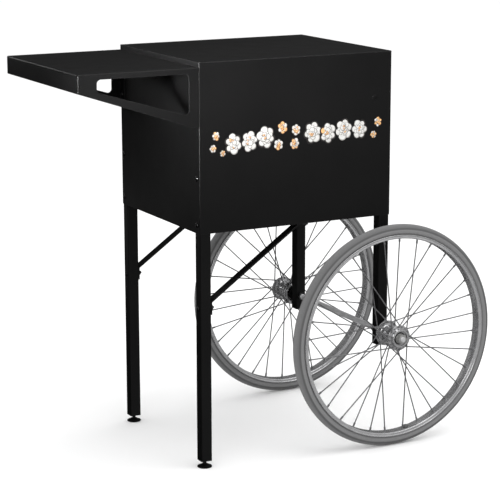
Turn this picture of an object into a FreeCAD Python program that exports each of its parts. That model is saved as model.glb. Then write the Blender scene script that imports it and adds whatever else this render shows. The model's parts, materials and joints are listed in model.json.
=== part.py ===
import FreeCAD, Part
import math
import os

# Popcorn cart: a steel storage cabinet with a side shelf, two long legs with levelling feet,
# and two spoked wheels on one fixed axle that passes through two short legs.
# Millimetres. +X runs from the shelf to the wheels, +Y from the decorated front to the door,
# +Z up. The origin is on the floor, under the middle of the whole cart.

V = FreeCAD.Vector

# ---------------------------------------------------------------- driving dimensions
CABINET_WIDTH = 472.0
CABINET_DEPTH = 404.0
CABINET_HEIGHT = 366.0
CABINET_TOP = 888.0
SHEET = 1.2                 # cabinet and shelf sheet steel
TOP_SHEET = 1.5
BEND = 1.5                  # inside bend radius of the sheet

SHELF_LENGTH = 272.0
SHELF_DROP = 11.0           # counter top down to the shelf top
SHELF_EDGE = 39.0           # height of the shelf's outer flange
GUSSET_HEIGHT = 125.0       # height of the shelf's sides at the cabinet

TUBE = 25.4                 # square leg tube
TUBE_WALL = 1.5
TUBE_CORNER = 3.0
LEG_IN_CABINET = 140.0      # length of leg inside the cabinet
LEG_FOOT_GAP = 15.0         # leg insert down to the floor
LEG_BOLT_HEIGHTS = (18.0, 118.0)

WHEEL_R = 254.0
WHEEL_GAP = 43.0            # cabinet face out to the wheel's middle plane
TYRE_SECTION_R = 14.0
RIM_INNER_R = 223.0
RIM_LIP_R = 232.0
RIM_HALF_WIDTH = 13.0
RIM_SHEET = 1.5
SPOKES = 32
SPOKE_R = 1.2
SPOKE_PHASE = 7.2           # degrees from +X to the first rim hole
CROSS_ANGLE = 45.0          # a spoke leaves the hub this far round from its rim hole
VALVE_PLUG_ANGLE = 279.8    # degrees from +X to the plug in the rim's valve hole
VALVE_PLUG_R = 4.0
NIPPLE_R = 2.0
NIPPLE_OFFSET = 2.5         # rim's middle plane out to a nipple hole

AXLE_R = 6.35
AXLE_ABOVE_LEG_END = 32.0
HUB_HALF_LENGTH = 34.0
FLANGE_R = 29.0
FLANGE_OFFSET = 25.0
FLANGE_SHEET = 2.4
SPOKE_CIRCLE_R = 25.0
BEARING_R = 14.3
BEARING_WIDTH = 7.9
BEARING_FACE = 29.0         # wheel's middle plane out to the bearing's outer face
RUN_GAP = 0.3               # running clearance between turning and fixed pieces

BRACE_WIDTH = 22.0
BRACE_SHEET = 3.0
BRACE_BOLT_Z = 357.0
BRACE_TAB = 14.0            # half height of the tab on the leg
BRACE_REACH = 246.0         # cabinet's left face to the bend under the floor
BRACE_BOLT_INSET = 18.0     # that bend to the bolt in the floor
FLOOR_RISE = 3.0            # cabinet's lower edge up to the floor's underside

REAR_FLANGE = 30.0
HEADER = 40.0
SILL = 30.0
DOOR_GAP = 2.0
DOOR_DEPTH = 15.0
DOOR_LIP = 12.0

# ---------------------------------------------------------------- places
AXLE_FROM_LEFT = CABINET_WIDTH - SHEET - TUBE / 2
CART_LENGTH = SHELF_LENGTH + AXLE_FROM_LEFT + WHEEL_R
SHELF_X = -CART_LENGTH / 2
LEFT = SHELF_X + SHELF_LENGTH
RIGHT = LEFT + CABINET_WIDTH
FRONT = -CABINET_DEPTH / 2
BACK = CABINET_DEPTH / 2
BOTTOM = CABINET_TOP - CABINET_HEIGHT
LEG_Y = CABINET_DEPTH / 2 - SHEET - TUBE / 2
LEG_X = LEFT + SHEET + TUBE / 2
AXLE_X = LEFT + AXLE_FROM_LEFT
AXLE_Z = WHEEL_R
WHEEL_Y = FRONT - WHEEL_GAP
SHELF_TOP = CABINET_TOP - SHELF_DROP
FLOOR_Z = BOTTOM + FLOOR_RISE
LEG_TOP = BOTTOM + LEG_IN_CABINET
OPEN_X0 = LEFT + REAR_FLANGE
OPEN_X1 = RIGHT - REAR_FLANGE
OPEN_Z0 = BOTTOM + SILL
OPEN_Z1 = CABINET_TOP - HEADER

os.makedirs("parts", exist_ok=True)


# ---------------------------------------------------------------- helpers
def save(name, solids):
    """Write one node: a single solid, or a group of separate solids."""
    shape = solids[0] if len(solids) == 1 else Part.makeCompound(solids)
    shape.exportStep("parts/" + name + ".step")


def block(x, y, z):
    """Box from three (low, high) pairs."""
    return Part.makeBox(x[1] - x[0], y[1] - y[0], z[1] - z[0], V(x[0], y[0], z[0]))


def rod(start, end, radius):
    axis = end - start
    return Part.makeCylinder(radius, axis.Length, start, axis)


def tube(start, end, radius, bore):
    return rod(start, end, radius).cut(rod(start, end, bore))


def mirror_y(shape):
    """The same piece on the other side of the cart."""
    return shape.mirror(V(0, 0, 0), V(0, 1, 0))


def both_sides(shapes):
    return shapes + [mirror_y(shape) for shape in shapes]


def hex_nut(start, end, across_flats, bore):
    """Hexagonal nut between two points on its axis."""
    axis = end - start
    corner = across_flats / math.sqrt(3)
    turns = [math.radians(60 * i) for i in range(7)]
    outline = Part.makePolygon([V(corner * math.cos(a), corner * math.sin(a), 0) for a in turns])
    nut = Part.Face(outline).extrude(V(0, 0, axis.Length))
    nut.Placement = FreeCAD.Placement(start, FreeCAD.Rotation(V(0, 0, 1), axis))
    return nut.cut(rod(start, end, bore))


def pan_screw(face, tip, shank_r, head_r, head_height):
    """Pan-head screw: its head stands outside the point face, its shank ends at tip."""
    inward = (tip - face).normalize()
    top = face - inward * head_height
    head = rod(face, top, head_r)
    head = head.makeFillet(head_height * 0.6, [edge for edge in head.Edges
                                               if abs((edge.CenterOfMass - top).Length) < 0.01])
    slot = rod(top - inward, top + inward * head_height * 0.5, shank_r * 0.55)
    return head.cut(slot).fuse(rod(face, tip, shank_r)).removeSplitter()


def revolve_y(outline, x, z):
    """Solid of revolution about a Y axis through (x, z). Outline points are (radius, y)."""
    wire = Part.makePolygon([V(x + r, y, z) for r, y in outline + outline[:1]])
    return Part.Face(wire).revolve(V(x, 0, z), V(0, 1, 0), 360)


def strip_face(points, thickness, inner_radius):
    """Flat outline of a folded strip whose centre line runs through (a, b) points."""
    centre = [V(a, b, 0) for a, b in points]
    half = thickness / 2
    bend = inner_radius + half
    sides = {1: [], -1: []}
    ends = {1: centre[0], -1: centre[0]}
    for i in range(len(centre) - 1):
        ahead = (centre[i + 1] - centre[i]).normalize()
        normal = V(-ahead.y, ahead.x, 0)
        start = {side: ends[side] + (normal * half * side if i == 0 else V()) for side in sides}
        if i + 2 == len(centre):
            for side in sides:
                ends[side] = centre[i + 1] + normal * half * side
                sides[side].append(Part.makeLine(start[side], ends[side]))
            break
        following = (centre[i + 2] - centre[i + 1]).normalize()
        turn = math.atan2(ahead.cross(following).z, ahead.dot(following))
        setback = bend * math.tan(abs(turn) / 2)
        bend_start = centre[i + 1] - ahead * setback
        pivot_side = 1 if turn > 0 else -1
        pivot = bend_start + normal * bend * pivot_side
        for side in sides:
            radius = bend - half * pivot_side * side
            arc_start = bend_start + normal * half * side
            spin = FreeCAD.Rotation(V(0, 0, 1), math.degrees(turn))
            half_spin = FreeCAD.Rotation(V(0, 0, 1), math.degrees(turn / 2))
            middle = pivot + half_spin.multVec(arc_start - pivot)
            arc_end = pivot + spin.multVec(arc_start - pivot)
            sides[side].append(Part.makeLine(start[side], arc_start))
            if radius > 0.01:
                sides[side].append(Part.Arc(arc_start, middle, arc_end).toShape())
            ends[side] = arc_end
    first = Part.makeLine(sides[1][0].valueAt(sides[1][0].FirstParameter),
                          sides[-1][0].valueAt(sides[-1][0].FirstParameter))
    last = Part.makeLine(ends[1], ends[-1])
    edges = sides[1] + sides[-1] + [first, last]
    return Part.Face(Part.Wire(Part.__sortEdges__(edges)))


def stand_up(shape, y):
    """Turn a shape drawn in the XY plane into the XZ plane, and move its base to y."""
    shape.rotate(V(0, 0, 0), V(1, 0, 0), 90)
    shape.translate(V(0, y, 0))
    return shape


def rounded_prism(corners, radius, y0, y1):
    """Prism between y0 and y1 whose (x, z) outline has rounded corners."""
    wire = Part.makePolygon([V(x, y0, z) for x, z in corners + corners[:1]])
    prism = Part.Face(wire).extrude(V(0, y1 - y0, 0))
    along = [edge for edge in prism.Edges if abs(edge.tangentAt(edge.FirstParameter).y) > 0.99]
    return prism.makeFillet(radius, along)


# ---------------------------------------------------------------- cabinet
def leg_bolt_points():
    """Where the leg bolts pass the cabinet's side faces: (face x, inward direction, y, z)."""
    points = []
    for face_x, inward in ((LEFT, 1), (RIGHT, -1)):
        for side in (-1, 1):
            for height in LEG_BOLT_HEIGHTS:
                points.append((face_x, inward, side * LEG_Y, BOTTOM + height))
    return points


SHELF_BOLT_Y = CABINET_DEPTH / 2 - 12.0
SHELF_BOLT_Z = (SHELF_TOP - 100.0, SHELF_TOP - 24.0)
BOLT_R = 3.0
BOLT_HEAD_R = 5.5
BOLT_HEAD = 3.2
NUT = 5.5
NUT_FLATS = 10.0
HOLE_PLUG_X = RIGHT - 42.0
HOLE_PLUG_Z = CABINET_TOP - 100.0
HOLE_PLUG_R = 4.0


def cabinet_shell():
    """Front and both sides folded from one sheet, with flanges beside the door."""
    mid = SHEET / 2
    profile = strip_face([(LEFT + REAR_FLANGE, BACK - mid), (LEFT + mid, BACK - mid),
                          (LEFT + mid, FRONT + mid), (RIGHT - mid, FRONT + mid),
                          (RIGHT - mid, BACK - mid), (RIGHT - REAR_FLANGE, BACK - mid)],
                         SHEET, BEND)
    profile.translate(V(0, 0, BOTTOM))
    shell = profile.extrude(V(0, 0, CABINET_HEIGHT - TOP_SHEET))
    cuts = []
    for face_x, inward, y, z in leg_bolt_points():
        cuts.append(rod(V(face_x - inward, y, z), V(face_x + inward * 3, y, z), BOLT_R))
    for y in (-SHELF_BOLT_Y, SHELF_BOLT_Y):
        for z in SHELF_BOLT_Z:
            cuts.append(rod(V(LEFT - 1, y, z), V(LEFT + 3, y, z), BOLT_R))
    for x, z in hinge_screw_points(-1):
        cuts.append(rod(V(x, BACK - 3, z), V(x, BACK + 1, z), HINGE_SCREW_R))
    cuts.append(rod(V(HOLE_PLUG_X, FRONT - 1, HOLE_PLUG_Z), V(HOLE_PLUG_X, FRONT + 3, HOLE_PLUG_Z),
                    HOLE_PLUG_R))
    return shell.cut(Part.makeCompound(cuts))


def top_panel():
    """Counter top: a flat sheet with a stiffening flange inside the front and sides."""
    flange = 15.0
    low = CABINET_TOP - TOP_SHEET
    sheet = block((LEFT, RIGHT), (FRONT, BACK), (low, CABINET_TOP))
    corners = [edge for edge in sheet.Edges if edge.BoundBox.ZLength > TOP_SHEET - 0.01]
    sheet = sheet.makeFillet(BEND + SHEET - 0.2, corners)
    rim = [edge for edge in sheet.Edges if edge.BoundBox.ZMin > CABINET_TOP - 0.01]
    sheet = sheet.makeFillet(1.2, rim)
    x = (LEFT + SHEET, RIGHT - SHEET)
    outer = block(x, (FRONT + SHEET, BACK - DOOR_DEPTH), (low - flange, low))
    upright = [edge for edge in outer.Edges
               if edge.BoundBox.ZLength > flange - 0.01 and edge.BoundBox.YMax < 0]
    outer = outer.makeFillet(BEND + 0.3, upright)
    inner = block((x[0] + SHEET, x[1] - SHEET), (FRONT + 2 * SHEET, BACK), (low - flange, low))
    return sheet.fuse(outer.cut(inner)).removeSplitter()


def floor_panel():
    """Cabinet floor with upturned flanges, notched round the four legs."""
    flange = 18.0
    notch = TUBE + SHEET + 0.6
    x = (LEFT + SHEET, RIGHT - SHEET)
    y = (FRONT + SHEET, BACK - SHEET)
    floor = block(x, y, (FLOOR_Z, FLOOR_Z + flange))
    inner = block((x[0] + SHEET, x[1] - SHEET), (y[0] + SHEET, y[1] - DOOR_DEPTH),
                  (FLOOR_Z + SHEET, FLOOR_Z + flange + 1))
    rear = block(x, (y[1] - DOOR_DEPTH - 1, y[1] + 1), (FLOOR_Z + SHEET, FLOOR_Z + flange + 1))
    floor = floor.cut(inner).cut(rear)
    for x0 in (LEFT, RIGHT - notch):
        for y0 in (FRONT, BACK - notch):
            floor = floor.cut(block((x0, x0 + notch), (y0, y0 + notch), (FLOOR_Z - 1, FLOOR_Z + 30)))
    bores = [rod(V(BRACE_BOLT_X, y, FLOOR_Z - 1), V(BRACE_BOLT_X, y, FLOOR_Z + 3), BOLT_R)
             for y in (-LEG_Y, LEG_Y)]
    return floor.cut(Part.makeCompound(bores))


def rear_rail(z0, z1, fold_z):
    """Cross rail beside the door: an upright sheet with a fold into the cabinet at fold_z."""
    web = block((OPEN_X0, OPEN_X1), (BACK - SHEET, BACK), (z0, z1))
    fold = block((OPEN_X0, OPEN_X1), (BACK - DOOR_DEPTH, BACK), (fold_z, fold_z + SHEET))
    return web.fuse(fold).removeSplitter()


def hole_plug():
    """Push-in plug that closes an unused hole in the front panel."""
    face = V(HOLE_PLUG_X, FRONT, HOLE_PLUG_Z)
    cap = rod(face, face - V(0, 1.2, 0), HOLE_PLUG_R + 1.5)
    stem = rod(face, face + V(0, 5, 0), HOLE_PLUG_R)
    return cap.fuse(stem).removeSplitter()


# ---------------------------------------------------------------- front graphic
GRAPHIC_Z = CABINET_TOP - 172.0
GRAPHIC_SHEET = 0.3
# puffs of popcorn: (x from the left face, z from the graphic's middle, size)
LARGE_PUFFS = ((80, -5, 44), (119, -3, 44), (158, 3, 48), (273, 5, 48), (311, 1, 44),
               (351, 6, 46), (391, 4, 42))
SMALL_PUFFS = ((39, 14, 20), (32, -12, 17), (55, -24, 14), (199, 21, 26), (232, 14, 24),
               (189, -15, 24), (229, -16, 25), (438, 17, 21), (427, -10, 17))
LOBES = 6
PUFF_HEIGHT = 1.2           # a puff's height over its width


def puff_lobes(x, z, size):
    """Flat popcorn shape: a ring of lobes round a middle disc."""
    centres = [V(x, FRONT, z)]
    for i in range(LOBES):
        turn = 2 * math.pi * i / LOBES + math.radians(7 * x)
        centres.append(V(x + 0.27 * size * math.cos(turn), FRONT,
                         z + 0.27 * size * PUFF_HEIGHT * math.sin(turn)))
    return [rod(c, c - V(0, GRAPHIC_SHEET, 0), size * 0.22) for c in centres]


def front_graphic():
    """All puffs of the sticker. Puffs that overlap are one piece of film."""
    lobes = []
    for x, z, size in LARGE_PUFFS + SMALL_PUFFS:
        lobes += puff_lobes(LEFT + x, GRAPHIC_Z + z, size)
    return lobes[0].multiFuse(lobes[1:]).removeSplitter().Solids


# ---------------------------------------------------------------- door
HINGE_X = OPEN_X0 + DOOR_GAP / 2
HINGE_Y = BACK + 3.5
HINGE_Z = (OPEN_Z0 + 50.0, OPEN_Z1 - 50.0)
HINGE_PIN_R = 1.75
KNUCKLE_R = 3.4
KNUCKLE = 16.0
LEAF_WIDTH = 22.0
LEAF_SHEET = 1.5
HINGE_SCREW_R = 1.6
HINGE_SCREW_OFFSET = 14.0
PULL_X = OPEN_X1 - 40.0
PULL_Z = (OPEN_Z0 + OPEN_Z1) / 2
PULL_SPAN = 96.0
PULL_STAND = 27.0
PULL_R = 4.0
PULL_SCREW_R = 2.0
CATCH_Z = PULL_Z
CATCH_HALF = 21.0


def door_panel():
    """Folded steel door that sits flush in the rear opening."""
    x = (OPEN_X0 + DOOR_GAP, OPEN_X1 - DOOR_GAP)
    z = (OPEN_Z0 + DOOR_GAP, OPEN_Z1 - DOOR_GAP)
    door = block(x, (BACK - DOOR_DEPTH, BACK), z)
    face_edges = [edge for edge in door.Edges if edge.BoundBox.YMin > BACK - 0.01]
    door = door.makeFillet(1.0, face_edges)
    hollow = block((x[0] + SHEET, x[1] - SHEET), (BACK - DOOR_DEPTH + SHEET, BACK - SHEET),
                   (z[0] + SHEET, z[1] - SHEET))
    mouth = block((x[0] + DOOR_LIP, x[1] - DOOR_LIP), (BACK - DOOR_DEPTH - 1, BACK - DOOR_DEPTH + 3),
                  (z[0] + DOOR_LIP, z[1] - DOOR_LIP))
    bores = [rod(V(PULL_X, BACK - 5, PULL_Z + s), V(PULL_X, BACK + 1, PULL_Z + s), PULL_SCREW_R)
             for s in (-PULL_SPAN / 2, PULL_SPAN / 2)]
    bores += [rod(V(hx, BACK - 5, hz), V(hx, BACK + 1, hz), HINGE_SCREW_R)
              for hx, hz in hinge_screw_points(1)]
    return door.cut(hollow).cut(mouth).cut(Part.makeCompound(bores))


def hinge_screw_points(direction):
    """(x, z) of the screws in the frame's leaves (-1) or the door's leaves (1)."""
    return [(HINGE_X + direction * HINGE_SCREW_OFFSET, z + s)
            for z in HINGE_Z for s in (-KNUCKLE, KNUCKLE)]


def hinge_leaf(direction, z_middle):
    """One leaf of a butt hinge. The frame's leaf carries two knuckles, the door's the middle one."""
    half = 1.5 * KNUCKLE
    reach = (HINGE_X, HINGE_X + direction * LEAF_WIDTH)
    leaf = block((min(reach), max(reach)), (BACK, BACK + LEAF_SHEET), (z_middle - half, z_middle + half))
    knuckle = rod(V(HINGE_X, HINGE_Y, z_middle - half), V(HINGE_X, HINGE_Y, z_middle + half), KNUCKLE_R)
    leaf = leaf.fuse(knuckle).removeSplitter()
    room = KNUCKLE_R + 0.6
    slack = 0.25
    if direction > 0:
        gaps = [(z_middle - half - 1, z_middle - KNUCKLE / 2 + slack),
                (z_middle + KNUCKLE / 2 - slack, z_middle + half + 1)]
    else:
        gaps = [(z_middle - KNUCKLE / 2 - slack, z_middle + KNUCKLE / 2 + slack)]
    for gap in gaps:
        leaf = leaf.cut(block((HINGE_X - room, HINGE_X + room), (BACK - 1, HINGE_Y + room), gap))
    bore = HINGE_PIN_R if direction < 0 else HINGE_PIN_R + 0.1
    holes = [rod(V(HINGE_X, HINGE_Y, z_middle - half - 1), V(HINGE_X, HINGE_Y, z_middle + half + 1), bore)]
    holes += [rod(V(x, BACK - 1, z), V(x, BACK + 3, z), HINGE_SCREW_R)
              for x, z in hinge_screw_points(direction)]
    return leaf.cut(Part.makeCompound(holes))


def hinge_pin(z_middle):
    half = 1.5 * KNUCKLE
    pin = rod(V(HINGE_X, HINGE_Y, z_middle - half), V(HINGE_X, HINGE_Y, z_middle + half), HINGE_PIN_R)
    caps = [rod(V(HINGE_X, HINGE_Y, z_middle + s * half), V(HINGE_X, HINGE_Y, z_middle + s * (half + 1.2)),
                KNUCKLE_R - 0.4) for s in (-1, 1)]
    return pin.multiFuse(caps).removeSplitter()


def hinge_screws(direction):
    """Short machine screws, ending flush inside the sheet."""
    face = BACK + LEAF_SHEET
    return [pan_screw(V(x, face, z), V(x, BACK - SHEET, z), HINGE_SCREW_R, 3.0, 1.4)
            for x, z in hinge_screw_points(direction)]


def door_pull():
    """Round bar handle bent into a bow."""
    half = PULL_SPAN / 2
    bend = 12.0
    y0 = BACK
    y1 = BACK + PULL_STAND
    corner = bend * (1 - math.sqrt(0.5))
    a = [V(PULL_X, y0, PULL_Z - half), V(PULL_X, y1 - bend, PULL_Z - half),
         V(PULL_X, y1 - corner, PULL_Z - half + corner), V(PULL_X, y1, PULL_Z - half + bend)]
    b = [V(p.x, p.y, 2 * PULL_Z - p.z) for p in a]
    path = Part.Wire([Part.makeLine(a[0], a[1]), Part.Arc(a[1], a[2], a[3]).toShape(),
                      Part.makeLine(a[3], b[3]), Part.Arc(b[3], b[2], b[1]).toShape(),
                      Part.makeLine(b[1], b[0])])
    section = Part.Wire([Part.makeCircle(PULL_R, a[0], V(0, 1, 0))])
    bow = path.makePipeShell([section], True, False)
    taps = [rod(V(PULL_X, y0 - 1, PULL_Z + s), V(PULL_X, y0 + 10, PULL_Z + s), PULL_SCREW_R)
            for s in (-half, half)]
    return bow.cut(Part.makeCompound(taps))


def pull_screws():
    inside = BACK - SHEET
    heights = (PULL_Z - PULL_SPAN / 2, PULL_Z + PULL_SPAN / 2)
    return [pan_screw(V(PULL_X, inside, z), V(PULL_X, BACK + 9, z), PULL_SCREW_R, 4.0, 2.0) for z in heights]


def magnet_catch():
    """Magnetic catch with an arm that reaches in from the flange beside the door."""
    z = (CATCH_Z - CATCH_HALF, CATCH_Z + CATCH_HALF)
    face = BACK - DOOR_DEPTH - 1.5 - RUN_GAP
    ear = block((OPEN_X1 + 1, OPEN_X1 + 21), (BACK - SHEET - 2, BACK - SHEET), z)
    arm = block((OPEN_X1 - 0.6, OPEN_X1 + 1.4), (face - 14, BACK - SHEET), z)
    body = block((OPEN_X1 - 15, OPEN_X1 - 0.6), (face - 14, face), z)
    return ear.multiFuse([arm, body]).removeSplitter()


def catch_plate():
    """Steel plate on the door's lip that meets the magnet."""
    y = BACK - DOOR_DEPTH
    return block((OPEN_X1 - DOOR_GAP - DOOR_LIP, OPEN_X1 - DOOR_GAP - 0.4), (y - 1.5, y),
                 (CATCH_Z - CATCH_HALF + 3, CATCH_Z + CATCH_HALF - 3))


# ---------------------------------------------------------------- side shelf
CUT_TOP = SHELF_TOP - 12.0
CUT_BOTTOM_END = SHELF_TOP - 38.0       # low edge of the hand opening near the outer flange
CUT_BOTTOM_WALL = SHELF_TOP - 97.0      # and near the cabinet
CUT_END_X = SHELF_X + 42.0
CUT_WALL_X = LEFT - 23.0
RETURN = 12.0


def shelf_tray():
    """Shelf, outer flange and two sides folded from one sheet, with a hand opening in each side."""
    outline = [(SHELF_X, SHELF_TOP), (LEFT, SHELF_TOP), (LEFT, SHELF_TOP - GUSSET_HEIGHT),
               (LEFT - 14, SHELF_TOP - GUSSET_HEIGHT), (SHELF_X, SHELF_TOP - SHELF_EDGE)]
    wire = Part.makePolygon([V(x, FRONT, z) for x, z in outline + outline[:1]])
    outer = Part.Face(wire).extrude(V(0, CABINET_DEPTH, 0))
    bends = [edge for edge in outer.Edges
             if edge.BoundBox.XMax < LEFT - 1 and edge.BoundBox.ZMax > SHELF_TOP - 0.01
             and edge.BoundBox.XLength < 0.01]
    bends += [edge for edge in outer.Edges
              if edge.BoundBox.ZMin > SHELF_TOP - 0.01 and edge.BoundBox.YLength < 0.01]
    outer = outer.makeFillet(BEND + SHEET, bends)
    hollow = block((SHELF_X + SHEET, LEFT + 1), (FRONT + SHEET, BACK - SHEET),
                   (SHELF_TOP - 200, SHELF_TOP - SHEET))
    hollow_bends = [edge for edge in hollow.Edges
                    if edge.BoundBox.ZMax > SHELF_TOP - 100
                    and (edge.BoundBox.XMax < SHELF_X + 2
                         or (edge.BoundBox.ZMin > SHELF_TOP - 2 and edge.BoundBox.YLength < 0.01))]
    hollow = hollow.makeFillet(BEND, hollow_bends)
    shelf = outer.cut(hollow)
    opening = rounded_prism([(CUT_END_X, CUT_TOP), (CUT_WALL_X, CUT_TOP),
                             (CUT_WALL_X, CUT_BOTTOM_WALL - 3), (CUT_END_X, CUT_BOTTOM_END)],
                            9.0, FRONT - 5, BACK + 5)
    shelf = shelf.cut(opening)
    edge_z = SHELF_TOP - SHELF_EDGE
    folds = [block((SHELF_X + SHEET, SHELF_X + RETURN), (FRONT + SHEET, BACK - SHEET),
                   (edge_z, edge_z + SHEET))]
    run = V(LEFT - 14, 0, SHELF_TOP - GUSSET_HEIGHT) - V(SHELF_X, 0, edge_z)
    up = V(run.z, 0, -run.x).normalize() * -SHEET
    for y0, y1 in ((FRONT + SHEET, FRONT + RETURN), (BACK - RETURN, BACK - SHEET)):
        low = V(SHELF_X, y0, edge_z) + run * (RETURN / run.Length * 1.2)
        high = V(SHELF_X, y0, edge_z) + run
        face = Part.Face(Part.makePolygon([low, high, high + up, low + up, low]))
        folds.append(face.extrude(V(0, y1 - y0, 0)))
    for y0, y1 in ((FRONT + SHEET, FRONT + 24), (BACK - 24, BACK - SHEET)):
        folds.append(block((LEFT - SHEET, LEFT), (y0, y1), (SHELF_TOP - GUSSET_HEIGHT, SHELF_TOP - SHEET)))
    shelf = shelf.multiFuse(folds).removeSplitter()
    bores = [rod(V(LEFT - 3, y, z), V(LEFT + 1, y, z), BOLT_R)
             for y in (-SHELF_BOLT_Y, SHELF_BOLT_Y) for z in SHELF_BOLT_Z]
    return shelf.cut(Part.makeCompound(bores))


def shelf_bolts():
    return [pan_screw(V(LEFT - SHEET, y, z), V(LEFT + SHEET + 9, y, z), BOLT_R, BOLT_HEAD_R, BOLT_HEAD)
            for y in (-SHELF_BOLT_Y, SHELF_BOLT_Y) for z in SHELF_BOLT_Z]


def shelf_nuts():
    x = LEFT + SHEET
    return [hex_nut(V(x, y, z), V(x + NUT, y, z), NUT_FLATS, BOLT_R)
            for y in (-SHELF_BOLT_Y, SHELF_BOLT_Y) for z in SHELF_BOLT_Z]


# ---------------------------------------------------------------- legs and feet
INSERT = 22.0
INSERT_LIP = 1.5
STEM_R = 4.0
FOOT_R = 16.0
LEG_NUT = 4.0
LEG_BOLT_LENGTH = SHEET + TUBE + LEG_NUT


def leg_tube(x, z0, z1):
    """Square tube with rounded corners, on the front side of the cart."""
    half = TUBE / 2
    outer = block((x - half, x + half), (-LEG_Y - half, -LEG_Y + half), (z0, z1))
    inset = half - TUBE_WALL
    inner = block((x - inset, x + inset), (-LEG_Y - inset, -LEG_Y + inset), (z0 - 1, z1 + 1))
    outer = outer.makeFillet(TUBE_CORNER, [e for e in outer.Edges if e.BoundBox.ZLength > 20])
    inner = inner.makeFillet(TUBE_CORNER - TUBE_WALL, [e for e in inner.Edges if e.BoundBox.ZLength > 20])
    bores = [rod(V(x - 20, -LEG_Y, BOTTOM + h), V(x + 20, -LEG_Y, BOTTOM + h), BOLT_R)
             for h in LEG_BOLT_HEIGHTS]
    return outer.cut(inner).cut(Part.makeCompound(bores))


def footed_leg():
    leg = leg_tube(LEG_X, LEG_FOOT_GAP + INSERT_LIP, LEG_TOP)
    return leg.cut(rod(V(LEG_X - 20, -LEG_Y, BRACE_BOLT_Z), V(LEG_X + 20, -LEG_Y, BRACE_BOLT_Z), BOLT_R))


def axle_leg():
    leg = leg_tube(AXLE_X, AXLE_Z - AXLE_ABOVE_LEG_END + INSERT_LIP, LEG_TOP)
    return leg.cut(rod(V(AXLE_X, -LEG_Y - 20, AXLE_Z), V(AXLE_X, -LEG_Y + 20, AXLE_Z), AXLE_R))


def leg_plug(x, z, depth, bore):
    """Plastic plug in a tube's lower end, with a thin lip under the tube."""
    half = TUBE / 2
    inset = half - TUBE_WALL
    lip = block((x - half, x + half), (-LEG_Y - half, -LEG_Y + half), (z, z + INSERT_LIP))
    lip = lip.makeFillet(TUBE_CORNER, [e for e in lip.Edges if e.BoundBox.ZLength > 1])
    body = block((x - inset, x + inset), (-LEG_Y - inset, -LEG_Y + inset), (z, z + depth))
    body = body.makeFillet(TUBE_CORNER - TUBE_WALL, [e for e in body.Edges if e.BoundBox.ZLength > 5])
    plug = lip.fuse(body).removeSplitter()
    if bore:
        plug = plug.cut(rod(V(x, -LEG_Y, z - 1), V(x, -LEG_Y, z + depth + 1), bore))
    return plug


def foot_stem():
    """Threaded stud of the levelling foot."""
    return rod(V(LEG_X, -LEG_Y, 4.0), V(LEG_X, -LEG_Y, 52.0), STEM_R)


def foot_pad():
    """Conical pad of the levelling foot."""
    y = -LEG_Y
    base = rod(V(LEG_X, y, 0), V(LEG_X, y, 3), FOOT_R)
    base = base.makeFillet(1.0, [base.Edges[0], base.Edges[2]])
    cone = Part.makeCone(FOOT_R - 2, STEM_R + 2.5, 4.5, V(LEG_X, y, 3), V(0, 0, 1))
    pad = base.fuse(cone).removeSplitter()
    return pad.cut(rod(V(LEG_X, y, 4), V(LEG_X, y, 20), STEM_R))


def leg_bolts():
    bolts = []
    for face_x, inward, y, z in leg_bolt_points():
        face = V(face_x, y, z)
        tip = face + V(inward * LEG_BOLT_LENGTH, 0, 0)
        bolts.append(pan_screw(face, tip, BOLT_R, BOLT_HEAD_R, BOLT_HEAD))
    return bolts


def leg_nuts():
    nuts = []
    for face_x, inward, y, z in leg_bolt_points():
        start = V(face_x + inward * (SHEET + TUBE), y, z)
        nuts.append(hex_nut(start, start + V(inward * LEG_NUT, 0, 0), NUT_FLATS, BOLT_R))
    return nuts


# ---------------------------------------------------------------- braces
LEG_INNER_X = LEG_X + TUBE / 2
BRACE_BOLT_X = LEFT + BRACE_REACH + BRACE_BOLT_INSET


def brace():
    """Flat bar from the leg up to the cabinet floor, folded to a tab at each end."""
    mid = BRACE_SHEET / 2
    bar = strip_face([(LEG_INNER_X + mid, BRACE_BOLT_Z - BRACE_TAB),
                      (LEG_INNER_X + mid, BRACE_BOLT_Z + BRACE_TAB),
                      (LEFT + BRACE_REACH, FLOOR_Z - mid),
                      (LEFT + BRACE_REACH + 32, FLOOR_Z - mid)],
                     BRACE_SHEET, 2.0)
    bar = bar.extrude(V(0, 0, BRACE_WIDTH))
    bar = stand_up(bar, -LEG_Y + BRACE_WIDTH / 2)
    bores = [rod(V(LEG_INNER_X - 1, -LEG_Y, BRACE_BOLT_Z), V(LEG_INNER_X + 5, -LEG_Y, BRACE_BOLT_Z), BOLT_R),
             rod(V(BRACE_BOLT_X, -LEG_Y, FLOOR_Z - 5), V(BRACE_BOLT_X, -LEG_Y, FLOOR_Z + 1), BOLT_R)]
    return bar.cut(Part.makeCompound(bores))


def brace_bolts():
    """One bolt through the leg and one through the floor, for each brace."""
    y = -LEG_Y
    outer_x = LEG_X - TUBE / 2
    inner_end = V(LEG_INNER_X + BRACE_SHEET + 8.5, y, BRACE_BOLT_Z)
    through_leg = pan_screw(V(outer_x, y, BRACE_BOLT_Z), inner_end, BOLT_R, BOLT_HEAD_R, BOLT_HEAD)
    top = V(BRACE_BOLT_X, y, FLOOR_Z + SHEET)
    through_floor = pan_screw(top, top - V(0, 0, SHEET + BRACE_SHEET + 8), BOLT_R, BOLT_HEAD_R, BOLT_HEAD)
    return [through_leg, through_floor]


def brace_nuts():
    y = -LEG_Y
    x = LEG_INNER_X + BRACE_SHEET
    z = FLOOR_Z - BRACE_SHEET
    return [hex_nut(V(x, y, BRACE_BOLT_Z), V(x + NUT, y, BRACE_BOLT_Z), NUT_FLATS, BOLT_R),
            hex_nut(V(BRACE_BOLT_X, y, z), V(BRACE_BOLT_X, y, z - NUT), NUT_FLATS, BOLT_R)]


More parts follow.
